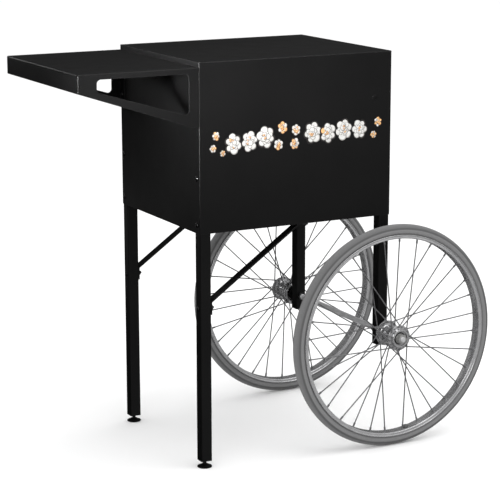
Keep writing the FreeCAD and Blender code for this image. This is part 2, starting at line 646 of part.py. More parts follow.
# ---------------------------------------------------------------- axle
AXLE_END_Y = WHEEL_Y - HUB_HALF_LENGTH - 10.0
AXLE_NUT = 11.0
AXLE_NUT_FLATS = 19.0
AXLE_WASHER = 2.0
AXLE_WASHER_R = 11.5
INNER_NUT = 7.0
SPACER_R = 9.0
COLLAR = 4.0
COLLAR_R = 17.0


def on_axle(offset):
    """Point on the axle, offset along Y from the front wheel's middle plane."""
    return V(AXLE_X, WHEEL_Y + offset, AXLE_Z)


def axle():
    bar = rod(on_axle(AXLE_END_Y - WHEEL_Y), V(AXLE_X, -AXLE_END_Y, AXLE_Z), AXLE_R)
    return bar.makeChamfer(1.0, [bar.Edges[0], bar.Edges[2]])


def hub_spacer():
    """Black bush that holds the hub off the leg, with a wide collar against the leg."""
    leg_face = -LEG_Y - TUBE / 2 - WHEEL_Y
    bush = rod(on_axle(BEARING_FACE + RUN_GAP), on_axle(leg_face), SPACER_R)
    collar = rod(on_axle(leg_face - COLLAR), on_axle(leg_face), COLLAR_R)
    return bush.fuse(collar).removeSplitter().cut(rod(on_axle(0), on_axle(60), AXLE_R))


def axle_washer():
    near = -BEARING_FACE - RUN_GAP
    return tube(on_axle(near), on_axle(near - AXLE_WASHER), AXLE_WASHER_R, AXLE_R)


def axle_nut():
    near = -BEARING_FACE - RUN_GAP - AXLE_WASHER
    return hex_nut(on_axle(near), on_axle(near - AXLE_NUT), AXLE_NUT_FLATS, AXLE_R)


def inner_nut():
    """Nut on the axle against the inner face of the short leg."""
    leg_face = V(AXLE_X, -LEG_Y + TUBE / 2, AXLE_Z)
    return hex_nut(leg_face, leg_face + V(0, INNER_NUT, 0), AXLE_NUT_FLATS, AXLE_R)


# ---------------------------------------------------------------- wheels
def wheel_point(radius, angle, offset):
    a = math.radians(angle)
    return V(AXLE_X + radius * math.cos(a), WHEEL_Y + offset, AXLE_Z + radius * math.sin(a))


def spoke_ends(i):
    """Hub hole, elbow, rim hole and flange side of spoke i."""
    angle = SPOKE_PHASE + 360.0 / SPOKES * i
    flange = -1 if i % 2 == 0 else 1
    lean = 1 if i % 4 < 2 else -1
    clear = FLANGE_SHEET / 2 + SPOKE_R + (1.0 if lean > 0 else 0.3)
    hub_angle = angle + lean * CROSS_ANGLE
    elbow_y = flange * (FLANGE_OFFSET + lean * clear)
    head_y = flange * (FLANGE_OFFSET - lean * FLANGE_SHEET / 2)
    elbow = wheel_point(SPOKE_CIRCLE_R, hub_angle, elbow_y)
    head = wheel_point(SPOKE_CIRCLE_R, hub_angle, head_y)
    rim_hole = wheel_point(RIM_INNER_R + RIM_SHEET / 2, angle, flange * NIPPLE_OFFSET)
    return head, elbow, rim_hole


def spoke(i):
    """Wire spoke: a head at the flange, an elbow, and a straight run to its nipple."""
    head, elbow, rim_hole = spoke_ends(i)
    away = (head - elbow).normalize()
    run = (rim_hole - elbow).normalize()
    pieces = [rod(elbow, rim_hole - run * 1.0, SPOKE_R),
              Part.makeSphere(SPOKE_R, elbow),
              rod(elbow, head + away * 0.5, SPOKE_R),
              rod(head, head + away * 1.1, 2.1)]
    return pieces[0].multiFuse(pieces[1:])


def nipple(i):
    """Brass nipple that passes the rim and grips the spoke's end."""
    head, elbow, rim_hole = spoke_ends(i)
    run = (rim_hole - elbow).normalize()
    sleeve = rod(rim_hole - run * 11.0, rim_hole + run * 1.3, NIPPLE_R)
    cap = rod(rim_hole + run * 1.3, rim_hole + run * 2.8, NIPPLE_R + 0.6)
    bore = rod(rim_hole - run * 12.0, rim_hole - run * 1.0, SPOKE_R)
    return sleeve.fuse(cap).removeSplitter().cut(bore)


def rim():
    """Rolled steel channel with thickened round lips, bored for the nipples."""
    w = RIM_HALF_WIDTH
    t = RIM_SHEET
    lip = 2.0
    bead = 0.7
    half = [(RIM_INNER_R, w - 2), (RIM_INNER_R + 2, w), (RIM_LIP_R - lip, w),
            (RIM_LIP_R - lip + bead / 2, w + bead), (RIM_LIP_R - bead, w + bead),
            (RIM_LIP_R, w), (RIM_LIP_R, w - t), (RIM_INNER_R + 2.6, w - t),
            (RIM_INNER_R + t, w - 2.6)]
    outline = half + [(r, -y) for r, y in reversed(half)]
    channel = revolve_y([(r, WHEEL_Y + y) for r, y in outline], AXLE_X, AXLE_Z)
    bores = [rod(wheel_point(RIM_INNER_R - 3, VALVE_PLUG_ANGLE, 0),
                 wheel_point(RIM_INNER_R + 3, VALVE_PLUG_ANGLE, 0), VALVE_PLUG_R)]
    for i in range(SPOKES):
        head, elbow, rim_hole = spoke_ends(i)
        run = (rim_hole - elbow).normalize()
        bores.append(rod(rim_hole - run * 3, rim_hole + run * 3, NIPPLE_R + 0.1))
    return channel.cut(Part.makeCompound(bores))


def tyre():
    """Solid rubber tyre: a round section on a flat-sided foot that fills the rim channel."""
    half = RIM_HALF_WIDTH - RIM_SHEET
    middle_r = WHEEL_R - TYRE_SECTION_R
    shoulder_r = middle_r - math.sqrt(TYRE_SECTION_R ** 2 - half ** 2)
    seat_r = RIM_INNER_R + 4.5

    def at(radius, y):
        return V(AXLE_X + radius, WHEEL_Y + y, AXLE_Z)

    tread = Part.Arc(at(shoulder_r, -half), at(WHEEL_R, 0), at(shoulder_r, half)).toShape()
    foot = Part.makePolygon([at(shoulder_r, half), at(seat_r, half),
                             at(seat_r, -half), at(shoulder_r, -half)])
    section = Part.Face(Part.Wire([tread] + foot.Edges))
    return section.revolve(V(AXLE_X, 0, AXLE_Z), V(0, 1, 0), 360)


def valve_plug():
    """Rubber plug that closes the rim's valve hole, with its head on the hub side."""
    head_end = RIM_INNER_R - 0.1
    stem_end = RIM_INNER_R + 3.4

    def at(radius):
        return wheel_point(radius, VALVE_PLUG_ANGLE, 0)

    head = rod(at(head_end - 6.0), at(head_end), VALVE_PLUG_R + 1.5)
    stem = rod(at(head_end - 1.0), at(stem_end), VALVE_PLUG_R)
    return head.fuse(stem).removeSplitter()


def hub():
    """Chromed hub shell: barrel, two spoke flanges and a bearing cup at each end."""
    half = [(BEARING_R, HUB_HALF_LENGTH - 13), (BEARING_R, BEARING_FACE), (16.5, BEARING_FACE),
            (16.5, HUB_HALF_LENGTH - 1), (17.5, HUB_HALF_LENGTH), (20.0, HUB_HALF_LENGTH),
            (21.0, HUB_HALF_LENGTH - 1), (21.0, FLANGE_OFFSET + 3.5),
            (22.3, FLANGE_OFFSET + FLANGE_SHEET / 2), (FLANGE_R, FLANGE_OFFSET + FLANGE_SHEET / 2),
            (FLANGE_R, FLANGE_OFFSET - FLANGE_SHEET / 2), (19.0, FLANGE_OFFSET - FLANGE_SHEET / 2),
            (15.5, FLANGE_OFFSET - 5)]
    mirrored = [(r, -y) for r, y in reversed(half)]
    bore = [(9.5, -HUB_HALF_LENGTH + 13), (9.5, HUB_HALF_LENGTH - 13)]
    shell = revolve_y([(r, WHEEL_Y + y) for r, y in half + mirrored + bore], AXLE_X, AXLE_Z)
    bores = []
    for i in range(SPOKES):
        head, elbow, rim_hole = spoke_ends(i)
        away = (head - elbow).normalize()
        bores.append(rod(elbow, head + away, SPOKE_R + 0.15))
    return shell.cut(Part.makeCompound(bores))


def bearings():
    """Two ball bearings pressed into the hub's cups."""
    return [tube(on_axle(s * (BEARING_FACE - BEARING_WIDTH)), on_axle(s * BEARING_FACE),
                 BEARING_R, AXLE_R + 0.1) for s in (-1, 1)]


def wheel_nodes():
    return {"tyre": [tyre()], "rim": [rim()], "hub": [hub()], "bearings": bearings(),
            "spokes": [spoke(i) for i in range(SPOKES)],
            "nipples": [nipple(i) for i in range(SPOKES)], "valve_plug": [valve_plug()]}


# ---------------------------------------------------------------- all nodes
nodes = {
    "cabinet_shell": [cabinet_shell()],
    "top_panel": [top_panel()],
    "floor_panel": [floor_panel()],
    "rear_header": [rear_rail(OPEN_Z1, CABINET_TOP - TOP_SHEET, OPEN_Z1)],
    "rear_sill": [rear_rail(BOTTOM, OPEN_Z0, OPEN_Z0 - SHEET)],
    "hole_plug": [hole_plug()],
    "front_graphic": front_graphic(),
    "door_panel": [door_panel()],
    "hinge_frame_leaves": [hinge_leaf(-1, z) for z in HINGE_Z],
    "hinge_door_leaves": [hinge_leaf(1, z) for z in HINGE_Z],
    "hinge_pins": [hinge_pin(z) for z in HINGE_Z],
    "hinge_frame_screws": hinge_screws(-1),
    "hinge_door_screws": hinge_screws(1),
    "door_pull": [door_pull()],
    "pull_screws": pull_screws(),
    "magnet_catch": [magnet_catch()],
    "catch_plate": [catch_plate()],
    "shelf_tray": [shelf_tray()],
    "shelf_bolts": shelf_bolts(),
    "shelf_nuts": shelf_nuts(),
    "leg_bolts": leg_bolts(),
    "leg_nuts": leg_nuts(),
    "foot_inserts": both_sides([leg_plug(LEG_X, LEG_FOOT_GAP, INSERT, STEM_R + 0.1)]),
    "axle_leg_caps": both_sides([leg_plug(AXLE_X, AXLE_Z - AXLE_ABOVE_LEG_END, 14.0, 0)]),
    "brace_bolts": both_sides(brace_bolts()),
    "brace_nuts": both_sides(brace_nuts()),
    "axle": [axle()],
    "hub_spacers": both_sides([hub_spacer()]),
    "axle_washers": both_sides([axle_washer()]),
    "axle_nuts": both_sides([axle_nut()]),
    "axle_inner_nuts": both_sides([inner_nut()]),
}
handed = {"leg": [footed_leg()], "axle_leg": [axle_leg()], "foot_stem": [foot_stem()],
          "foot_pad": [foot_pad()], "brace": [brace()]}
handed.update(wheel_nodes())
for name, solids in handed.items():
    nodes[name + "_front"] = solids
    nodes[name + "_rear"] = [mirror_y(solid) for solid in solids]

for name, solids in nodes.items():
    for solid in solids:
        if not solid.isValid() or solid.Volume <= 0:
            print("check", name, solid.isValid(), solid.Volume)
    save(name, solids)
print(len(nodes), "nodes")
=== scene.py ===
import json
import math
import random

import bmesh
import bpy
from mathutils import Matrix, Vector
from mathutils.geometry import delaunay_2d_cdt


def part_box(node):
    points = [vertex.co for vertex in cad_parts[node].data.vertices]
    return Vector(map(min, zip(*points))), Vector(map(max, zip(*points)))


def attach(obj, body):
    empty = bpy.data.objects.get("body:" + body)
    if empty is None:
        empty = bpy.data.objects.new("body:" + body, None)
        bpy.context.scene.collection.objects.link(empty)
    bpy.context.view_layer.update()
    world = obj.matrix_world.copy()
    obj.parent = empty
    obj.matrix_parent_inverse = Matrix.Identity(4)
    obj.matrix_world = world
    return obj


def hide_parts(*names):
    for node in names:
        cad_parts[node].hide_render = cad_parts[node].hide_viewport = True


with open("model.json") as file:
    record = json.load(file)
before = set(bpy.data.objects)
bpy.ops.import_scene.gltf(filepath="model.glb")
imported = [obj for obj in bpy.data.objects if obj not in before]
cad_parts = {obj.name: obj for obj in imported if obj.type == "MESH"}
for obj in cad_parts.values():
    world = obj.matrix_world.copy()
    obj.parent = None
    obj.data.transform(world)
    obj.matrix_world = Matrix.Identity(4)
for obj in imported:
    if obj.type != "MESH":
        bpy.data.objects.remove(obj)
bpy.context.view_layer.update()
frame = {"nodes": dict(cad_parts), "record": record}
nodes = frame["nodes"]


# ------------------------ objects and shader nodes
def add_object(name, data):
    obj = bpy.data.objects.new(name, data)
    bpy.context.scene.collection.objects.link(obj)
    return obj


def add_node(tree, kind, **values):
    """New node with inputs set by name, an underscore standing for a space."""
    node = tree.nodes.new("ShaderNode" + kind)
    for name, value in values.items():
        node.inputs[name.replace("_", " ")].default_value = value
    return node


def add_ramp(tree, value, stops):
    """Colour ramp fed by value, from (position, colour) stops."""
    node = add_node(tree, "ValToRGB")
    elements = node.color_ramp.elements
    while len(elements) < len(stops):
        elements.new(0.5)
    for element, (position, colour) in zip(elements, stops):
        element.position = position
        element.color = (*colour, 1.0)
    tree.links.new(value, node.inputs["Fac"])
    return node.outputs["Color"]


class Shader:
    """One procedural material: a Principled shader and short ways to build what feeds it."""

    def __init__(self, name, metallic=0.0, specular=0.5, coat=0.0, coat_roughness=0.1):
        self.material = bpy.data.materials.new(name)
        self.material.use_nodes = True
        self.tree = self.material.node_tree
        self.surface = self.tree.nodes["Principled BSDF"]
        for name, value in (("Metallic", metallic), ("Specular IOR Level", specular),
                            ("Coat Weight", coat), ("Coat Roughness", coat_roughness)):
            self.surface.inputs[name].default_value = value
        self.place = add_node(self.tree, "TexCoord").outputs["Object"]

    def link(self, source, target):
        self.tree.links.new(source, target)

    def stretched(self, scale):
        """Place of the shaded point, scaled along each axis."""
        mapping = add_node(self.tree, "Mapping", Scale=scale)
        self.link(self.place, mapping.inputs["Vector"])
        return mapping.outputs["Vector"]

    def noise(self, scale, detail=3.0, place=None):
        node = add_node(self.tree, "TexNoise", Scale=scale, Detail=detail)
        self.link(place or self.place, node.inputs["Vector"])
        return node.outputs["Fac"]

    def cells(self, scale):
        node = add_node(self.tree, "TexVoronoi", Scale=scale)
        self.link(self.place, node.inputs["Vector"])
        return node.outputs["Distance"]

    def ramp(self, value, *stops):
        return add_ramp(self.tree, value, stops)

    def spread(self, value, low, high):
        """Values from a quarter to three quarters, spread between low and high."""
        node = add_node(self.tree, "MapRange", From_Min=0.25, From_Max=0.75, To_Min=low, To_Max=high)
        self.link(value, node.inputs["Value"])
        return node.outputs["Result"]

    def blend(self, share, first, second):
        """Colour first with second, a plain colour, mixed in by share."""
        node = add_node(self.tree, "Mix")
        node.data_type = "RGBA"
        self.link(share, node.inputs["Factor"])
        self.link(first, node.inputs["A"])
        node.inputs["B"].default_value = (*second, 1.0)
        return node.outputs["Result"]

    def rounded_edges(self, radius):
        """Surface normal with sharp edges rounded to a radius."""
        node = add_node(self.tree, "Bevel", Radius=radius)
        node.samples = 6
        return node.outputs["Normal"]

    def vector_math(self, operation, first, plain=None):
        """Outputs of an operation on a linked vector and, where it takes two, a plain one."""
        node = add_node(self.tree, "VectorMath")
        node.operation = operation
        self.link(first, node.inputs[0])
        if plain is not None:
            node.inputs[1].default_value = plain
        return node.outputs

    def distance_from_axle(self, wheel):
        """Distance of the shaded point from the Y axis through the wheel's middle."""
        from_wheel = self.vector_math("SUBTRACT", self.place, wheel)["Vector"]
        across_axle = self.vector_math("MULTIPLY", from_wheel, (1.0, 0.0, 1.0))["Vector"]
        return self.vector_math("LENGTH", across_axle)["Value"]

    def bump(self, height, depth, normal=None):
        node = add_node(self.tree, "Bump", Strength=1.0, Distance=depth)
        self.link(height, node.inputs["Height"])
        if normal:
            self.link(normal, node.inputs["Normal"])
        return node.outputs["Normal"]

    def edges(self, radius):
        """1 near a sharp edge and 0 away from it."""
        geometry = add_node(self.tree, "NewGeometry")
        dot = add_node(self.tree, "VectorMath")
        dot.operation = "DOT_PRODUCT"
        self.link(self.rounded_edges(radius), dot.inputs[0])
        self.link(geometry.outputs["Normal"], dot.inputs[1])
        node = add_node(self.tree, "MapRange", From_Min=0.98, From_Max=0.86)
        self.link(dot.outputs["Value"], node.inputs["Value"])
        return node.outputs["Result"]

    def finish(self, colour, roughness, normal=None):
        """The material, with what drives its surface linked in."""
        self.link(colour, self.surface.inputs["Base Color"])
        self.link(roughness, self.surface.inputs["Roughness"])
        if normal:
            self.link(normal, self.surface.inputs["Normal"])
        return self.material


def powder_coat():
    """Near-black paint with a fine orange peel, and a painted highlight that makes it a little paler along
    its edges.
    """
    s = Shader("powder_coat", specular=0.24)
    cloud = s.noise(9.0, 5.0)
    body = s.ramp(cloud, (0.3, (0.0018, 0.0018, 0.0019)), (0.7, (0.0028, 0.0027, 0.0028)))
    # paler grey mixed in near sharp edges: a painted highlight along the bends and cut edges
    painted_edge_highlight = s.blend(s.edges(0.0011), body, (0.022, 0.022, 0.023))
    peel = s.bump(s.noise(650.0, 2.0), 0.00004, s.rounded_edges(0.0006))
    return s.finish(painted_edge_highlight, s.spread(s.noise(23.0, 5.0), 0.45, 0.50), peel)


def plated(name, dark, light, low, high, metallic=0.78):
    """Metal clouded between two greys, with fine scratches in its roughness from low to high."""
    s = Shader(name, metallic=metallic)
    colour = s.ramp(s.noise(35.0, 5.0), (0.3, dark), (0.7, light))
    scratches = s.noise(220.0, 3.0, place=s.stretched((1.0, 14.0, 1.0)))
    normal = s.bump(s.noise(900.0, 2.0), 0.000008, s.rounded_edges(0.0003))
    return s.finish(colour, s.spread(scratches, low, high), normal)


def tyre_rubber():
    """Grey rubber with painted light and shade in bands by distance from the axle: a pale sidewall, a dark
    line, a pale tread.
    """
    s = Shader("tyre_rubber", specular=0.3)
    wheel = (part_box("tyre_front")[0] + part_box("tyre_front")[1]) / 2
    # greys by radius: painted light on the pale bands and painted shade on the dark ones, across the round
    # section
    painted_shading_bands = ((0.2250, 0.10), (0.2315, 0.11), (0.2330, 0.165), (0.2425, 0.185), (0.2440, 0.075),
             (0.2465, 0.070), (0.2480, 0.130), (0.2535, 0.190))
    low, high = painted_shading_bands[0][0], painted_shading_bands[-1][0]
    stops = [((radius - low) / (high - low), (grey, grey, grey * 1.01)) for radius, grey in painted_shading_bands]
    share = add_node(s.tree, "MapRange", From_Min=low, From_Max=high)
    s.link(s.distance_from_axle(wheel), share.inputs["Value"])
    painted_shading_colour = s.ramp(share.outputs["Result"], *stops)
    colour = s.blend(s.spread(s.noise(420.0, 4.0), 0.0, 0.45), painted_shading_colour, (0.11, 0.11, 0.112))
    grain = s.bump(s.noise(1400.0, 2.0), 0.00004)
    return s.finish(colour, s.spread(s.noise(90.0, 4.0), 0.55, 0.75), grain)


def black_plastic():
    """Moulded plastic with a fine grain."""
    s = Shader("black_plastic", specular=0.2)
    colour = s.ramp(s.noise(90.0, 4.0), (0.3, (0.0015, 0.0015, 0.0015)), (0.7, (0.003, 0.003, 0.003)))
    grain = s.bump(s.cells(1500.0), 0.00003, s.rounded_edges(0.0004))
    return s.finish(colour, s.spread(s.noise(60.0, 3.0), 0.4, 0.6), grain)


def film(name, dark, light):
    """Printed film under a thin clear coat."""
    s = Shader(name, specular=0.5, coat=0.3, coat_roughness=0.2)
    colour = s.ramp(s.noise(160.0, 4.0), (0.3, dark), (0.7, light))
    return s.finish(colour, s.spread(s.noise(40.0), 0.3, 0.42), s.bump(s.noise(500.0), 0.00002))


MATERIALS = {
    "powder_coat": powder_coat(),
    "zinc_steel": plated("zinc_steel", (0.42, 0.42, 0.42), (0.60, 0.60, 0.58), 0.28, 0.42),
    "chrome": plated("chrome", (0.56, 0.56, 0.57), (0.72, 0.72, 0.73), 0.12, 0.22),
    "spoke_steel": plated("spoke_steel", (0.20, 0.20, 0.206), (0.31, 0.31, 0.316), 0.24, 0.38),
    "black_steel": plated("black_steel", (0.075, 0.075, 0.077), (0.13, 0.13, 0.132), 0.20, 0.30, 1.0),
    "tyre_rubber": tyre_rubber(),
    "black_plastic": black_plastic(),
    "printed_film": film("printed_film", (0.41, 0.405, 0.39), (0.50, 0.495, 0.48)),
}

for subpart in frame["record"]["subparts"]:
    mesh = nodes[subpart["node"]].data
    mesh.materials.clear()
    mesh.materials.append(MATERIALS[subpart["material_slot"]])


# ------------------------ mesh helpers, in millimetres
MM = 0.001
X, Y, Z = Vector((1, 0, 0)), Vector((0, 1, 0)), Vector((0, 0, 1))


def box(node):
    """Lowest corner, highest corner and middle of a CAD node, in millimetres."""
    low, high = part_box(node)
    return low / MM, high / MM, (low + high) / 2 / MM


def islands(node):
    """(low, high) corners of each separate solid in a CAD node, in millimetres."""
    bm = bmesh.new()
    bm.from_mesh(nodes[node].data)
    bmesh.ops.remove_doubles(bm, verts=bm.verts, dist=1e-6)
    found, seen = [], set()
    for start in bm.verts:
        if start in seen:
            continue
        seen.add(start)
        group, unfollowed = [start], [start]
        while unfollowed:
            vertex = unfollowed.pop()
            for edge in vertex.link_edges:
                other = edge.other_vert(vertex)
                if other not in seen:
                    seen.add(other)
                    group.append(other)
                    unfollowed.append(other)
        points = [v.co / MM for v in group]
        found.append((Vector(map(min, zip(*points))), Vector(map(max, zip(*points)))))
    bm.free()
    return found


def ends(corners, direction):
    """Points on a solid's axis at its far end along direction and at its near end."""
    low, high = corners
    middle = (low + high) / 2
    reach = abs((high - low).dot(direction)) / 2
    return middle + direction * reach, middle - direction * reach


def across(axis):
    """Two unit vectors square to an axis."""
    side = axis.cross(Z if abs(axis.z) < 0.9 else X).normalized()
    return side, axis.cross(side).normalized()


def circle(centre, axis, radius, sides):
    """Ring of points; radius is a number or a function of the angle."""
    u, w = across(axis)
    ring = []
    for i in range(sides):
        angle = 2 * math.pi * i / sides
        reach = radius(angle) if callable(radius) else radius
        ring.append(centre + (u * math.cos(angle) + w * math.sin(angle)) * reach)
    return ring


class Piece:
    """A mesh that grows surface by surface."""

    def __init__(self):
        self.bm = bmesh.new()

    def skin(self, rings, loop=False):
        """Faces between successive rings. A ring of one point is a tip; loop joins last to first."""
        rows = [[self.bm.verts.new(p) for p in ring] for ring in rings]
        for below, above in zip(rows, rows[1:] + (rows[:1] if loop else [])):
            count = max(len(below), len(above))
            for i in range(count):
                j = (i + 1) % count
                corners = [below[i % len(below)], below[j % len(below)],
                           above[j % len(above)], above[i % len(above)]]
                self.bm.faces.new(list(dict.fromkeys(corners)))

    def lathe(self, outline, centre, axis, sides=64):
        """Closed solid turned about an axis from (radius, offset) points; radius 0 makes a tip."""
        rings = [[centre + axis * y] if r == 0 else circle(centre + axis * y, axis, r, sides)
                 for r, y in outline]
        self.skin(rings, loop=outline[0][0] > 0)

    def plate(self, outline, direction):
        """Flat outline of points pushed along direction."""
        lower = [self.bm.verts.new(p) for p in outline]
        upper = [self.bm.verts.new(p + direction) for p in outline]
        count = len(lower)
        for i in range(count):
            j = (i + 1) % count
            self.bm.faces.new((lower[i], lower[j], upper[j], upper[i]))
        self.bm.faces.new(lower)
        self.bm.faces.new(upper)

    def build(self, name, body, slot, *replaced, mirrored=False, crease=35.0, material=None):
        """Make the object: in metres, smooth shaded with sharp edges kept, riding its body."""
        bm = self.bm.copy()
        bmesh.ops.scale(bm, vec=(MM, -MM if mirrored else MM, MM), verts=bm.verts)
        bmesh.ops.recalc_face_normals(bm, faces=bm.faces)
        mesh = bpy.data.meshes.new(name)
        bm.to_mesh(mesh)
        bm.free()
        mesh.shade_smooth()
        mesh.set_sharp_from_angle(angle=math.radians(crease))
        mesh.materials.append(material or MATERIALS[slot])
        obj = add_object(name, mesh)
        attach(obj, body)
        if replaced:
            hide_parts(*replaced)


def arc(r, y, radius, start, stop, steps):
    """Points (radius, offset) round a centre, by degrees from the radius direction."""
    turns = [math.radians(start + (stop - start) * i / steps) for i in range(steps + 1)]
    return [(r + radius * math.cos(a), y + radius * math.sin(a)) for a in turns]


def hexagon(flats):
    """Radius of a hexagon by angle."""
    return lambda angle: flats / 2 / math.cos((angle % (math.pi / 3)) - math.pi / 6)


def add_nut(piece, start, end, flats, bore):
    """Hexagonal nut with the curved edges that its 30 degree chamfers cut."""
    axis = (end - start).normalized()
    round_r = flats * 0.48
    sides = 96
    chamfer = 0.4
    corner_drop = math.tan(math.radians(30))
    radius = hexagon(flats)

    def rim_ring(base, sign):
        ring = circle(base, axis, radius, sides)
        return [p - axis * sign * max(0.0, ((p - base).length - round_r) * corner_drop) for p in ring]

    piece.skin([circle(start, axis, bore + chamfer, sides), circle(start, axis, round_r, sides),
                rim_ring(start, -1), rim_ring(end, 1), circle(end, axis, round_r, sides),
                circle(end, axis, bore + chamfer, sides), circle(end - axis * chamfer, axis, bore, sides),
                circle(start + axis * chamfer, axis, bore, sides)], loop=True)


def add_thread(piece, start, end, major, pitch, sides):
    """Threaded rod with a chamfered tip at its end point."""
    depth = 0.6 * pitch
    axis = (end - start).normalized()
    length = (end - start).length
    rings_per_turn = 8
    count = max(2, int(length / (pitch / rings_per_turn)))
    rings = [[start]]
    for k in range(count + 1):
        along = length * k / count
        tip = min(1.0, (length - along) / pitch)

        def radius(angle, along=along, tip=tip):
            wave = abs(((along / pitch - angle / (2 * math.pi)) % 1.0) * 2 - 1)
            return major - depth * wave - (1 - tip) * pitch * 0.5
        rings.append(circle(start + axis * along, axis, radius, sides))
    piece.skin(rings + [[end]])


def add_pan_screw(piece, corners, outward, shank, head, height):
    """Pan-head screw with a pressed cross recess."""
    top, tip = ends(corners, outward)
    face = top - outward * height
    sides = 64
    u, w = across(outward)
    recess_wide = head * 0.12
    recess_long = head * 0.52

    def crown(radius, angle):
        drop = height * 0.75 * (radius / head) ** 3.2
        x, y = abs(radius * math.cos(angle)), abs(radius * math.sin(angle))
        inside = (x < recess_wide and y < recess_long) or (y < recess_wide and x < recess_long)
        return -drop - (height * 0.62 * (1 - radius / head) if inside else 0.0)

    rings = [[top + outward * crown(0.0, 0.0)]]
    for share in (0.06, 0.12, 0.17, 0.24, 0.32, 0.42, 0.51, 0.56, 0.66, 0.76, 0.85, 0.93, 0.98, 1.0):
        ring = []
        for i in range(sides):
            angle = 2 * math.pi * i / sides
            ring.append(top + (u * math.cos(angle) + w * math.sin(angle)) * head * share
                        + outward * crown(head * share, angle))
        rings.append(ring)
    rings += [circle(face, outward, head * 0.97, sides), circle(face, outward, shank, sides),
              circle(tip, outward, shank, sides), [tip]]
    piece.skin(rings)


# ------------------------ wheels
WHEEL = box("tyre_front")[2]
WHEEL_R = box("tyre_front")[1].z - WHEEL.z
SECTION_R = 14.0
RIM_INNER_R = 223.0
SEAT_R = 5.0
SEAT_RISE = 0.7
SPOKES = 32
SPOKE_R = 1.4
HUB_BUTT = 24.0
RIM_BUTT = 26.0
BUTT_TAPER = 8.0
SPOKE_PHASE = 7.2
CROSS_ANGLE = 45.0
SPOKE_CIRCLE_R = 25.0
FLANGE_OFFSET = 25.0
FLANGE_SHEET = 2.4
NIPPLE_OFFSET = 2.5
BEARING_OFFSET = 25.05


def wheel_point(radius, angle, offset):
    """Point by distance from the axle, degrees round it and offset from the wheel's middle."""
    turn = math.radians(angle)
    return WHEEL + X * radius * math.cos(turn) + Z * radius * math.sin(turn) + Y * offset


def both_wheels(piece, name, slot, node, **options):
    """The front wheel's piece and its mirror image on the rear wheel."""
    piece.build(name + "_front", "wheel_front", slot, node + "_front", **options)
    piece.build(name + "_rear", "wheel_rear", slot, node + "_rear", mirrored=True, **options)


def both_sides(half):
    """Whole outline from its half on one side of the wheel's middle plane."""
    return [(r, -y) for r, y in reversed(half[1:])] + half


def tyre_outline():
    """Round section with a ribbed tread, a groove beside it, a moulded line and a neck at the rim."""
    middle_r = WHEEL_R - SECTION_R
    foot_half = 11.5
    shoulder = math.degrees(math.pi - math.asin(foot_half / SECTION_R))
    steps = 150
    # degrees round the section from the middle of the tread
    tread_edge, rib_pitch = 45, 7.5
    groove, line, neck = 47, 84, 108
    band = 6
    outline = []
    for i in range(steps + 1):
        turn = shoulder * (2 * i / steps - 1)
        side = abs(turn)
        relief = 0.0
        if side < tread_edge:
            relief = -0.22 * (1 - math.cos(2 * math.pi * turn / rib_pitch))
        elif groove < side < groove + band:
            relief = -0.5 * math.sin(math.pi * (side - groove) / band)
        elif line < side < line + band:
            relief = 0.35 * math.sin(math.pi * (side - line) / band)
        elif side > neck:
            relief = -1.1 * math.sin(math.pi / 2 * min(1.0, (side - neck) / 10))
        section = SECTION_R + relief
        outline.append((middle_r + section * math.cos(math.radians(turn)),
                        section * math.sin(math.radians(turn))))
    seat_r = RIM_INNER_R + 4.6
    return outline + [(seat_r, foot_half - 1.2), (seat_r, 1.2 - foot_half)]


def tyres():
    piece = Piece()
    piece.lathe(tyre_outline(), WHEEL, Y, 320)
    both_wheels(piece, "rubber_tyre", "tyre_rubber", "tyre")


def rims():
    """Rolled channel with round lips, hollow flanks and a raised seat round each nipple."""
    bed_r = 224.9
    half = [(223.5, 0), (223.45, 1), (223.4, 2.2), (223.35, 3.4), (223.3, 4.6), (223.15, 6.5),
            (223.0, 8.5)]
    half += arc(225.4, 10.6, 2.4, 180, 90, 6)
    half += [(226.4, 12.85), (227.4, 12.55), (228.4, 12.5), (229.3, 12.75)]
    half += arc(230.9, 12.72, 1.05, 155, -90, 10)
    half += [(230.2, 11.55), (225.9, 11.55), (bed_r, 10.4)]
    piece = Piece()
    piece.lathe(both_sides(half) + [(bed_r, 4), (bed_r, -4)], WHEEL, Y, 640)
    seats = [spoke_ends(i)[2] for i in range(SPOKES)]
    for vertex in piece.bm.verts:
        away = vertex.co - WHEEL
        radius = math.hypot(away.x, away.z)
        if radius > RIM_INNER_R + 0.8 or abs(away.y) > 8:
            continue
        gap = min((vertex.co - seat).length for seat in seats)
        if gap < SEAT_R:
            rise = SEAT_RISE * (0.5 + 0.5 * math.cos(math.pi * gap / SEAT_R))
            vertex.co -= Vector((away.x, 0, away.z)).normalized() * rise
    both_wheels(piece, "chrome_rim", "chrome", "rim")


def spoke_ends(i):
    """Hub hole, elbow and rim hole of spoke i."""
    angle = SPOKE_PHASE + 360.0 / SPOKES * i
    flange = -1 if i % 2 == 0 else 1
    lean = 1 if i % 4 < 2 else -1
    clear = FLANGE_SHEET / 2 + SPOKE_R + (1.0 if lean > 0 else 0.3)
    hub_angle = angle + lean * CROSS_ANGLE
    elbow = wheel_point(SPOKE_CIRCLE_R, hub_angle, flange * (FLANGE_OFFSET + lean * clear))
    head = wheel_point(SPOKE_CIRCLE_R, hub_angle, flange * (FLANGE_OFFSET - lean * FLANGE_SHEET / 2))
    return head, elbow, wheel_point(RIM_INNER_R + 0.75, angle, flange * NIPPLE_OFFSET)


def add_wire(piece, path, sides=12):
    """Round wire along (point, radius) stations; the two ends close to a tip."""
    points = [point for point, radius in path]
    rings = [[points[0]]]
    for k, (point, radius) in enumerate(path):
        ahead = points[min(k + 1, len(points) - 1)] - points[max(k - 1, 0)]
        rings.append(circle(point, ahead.normalized(), radius, sides))
    piece.skin(rings + [[points[-1]]])


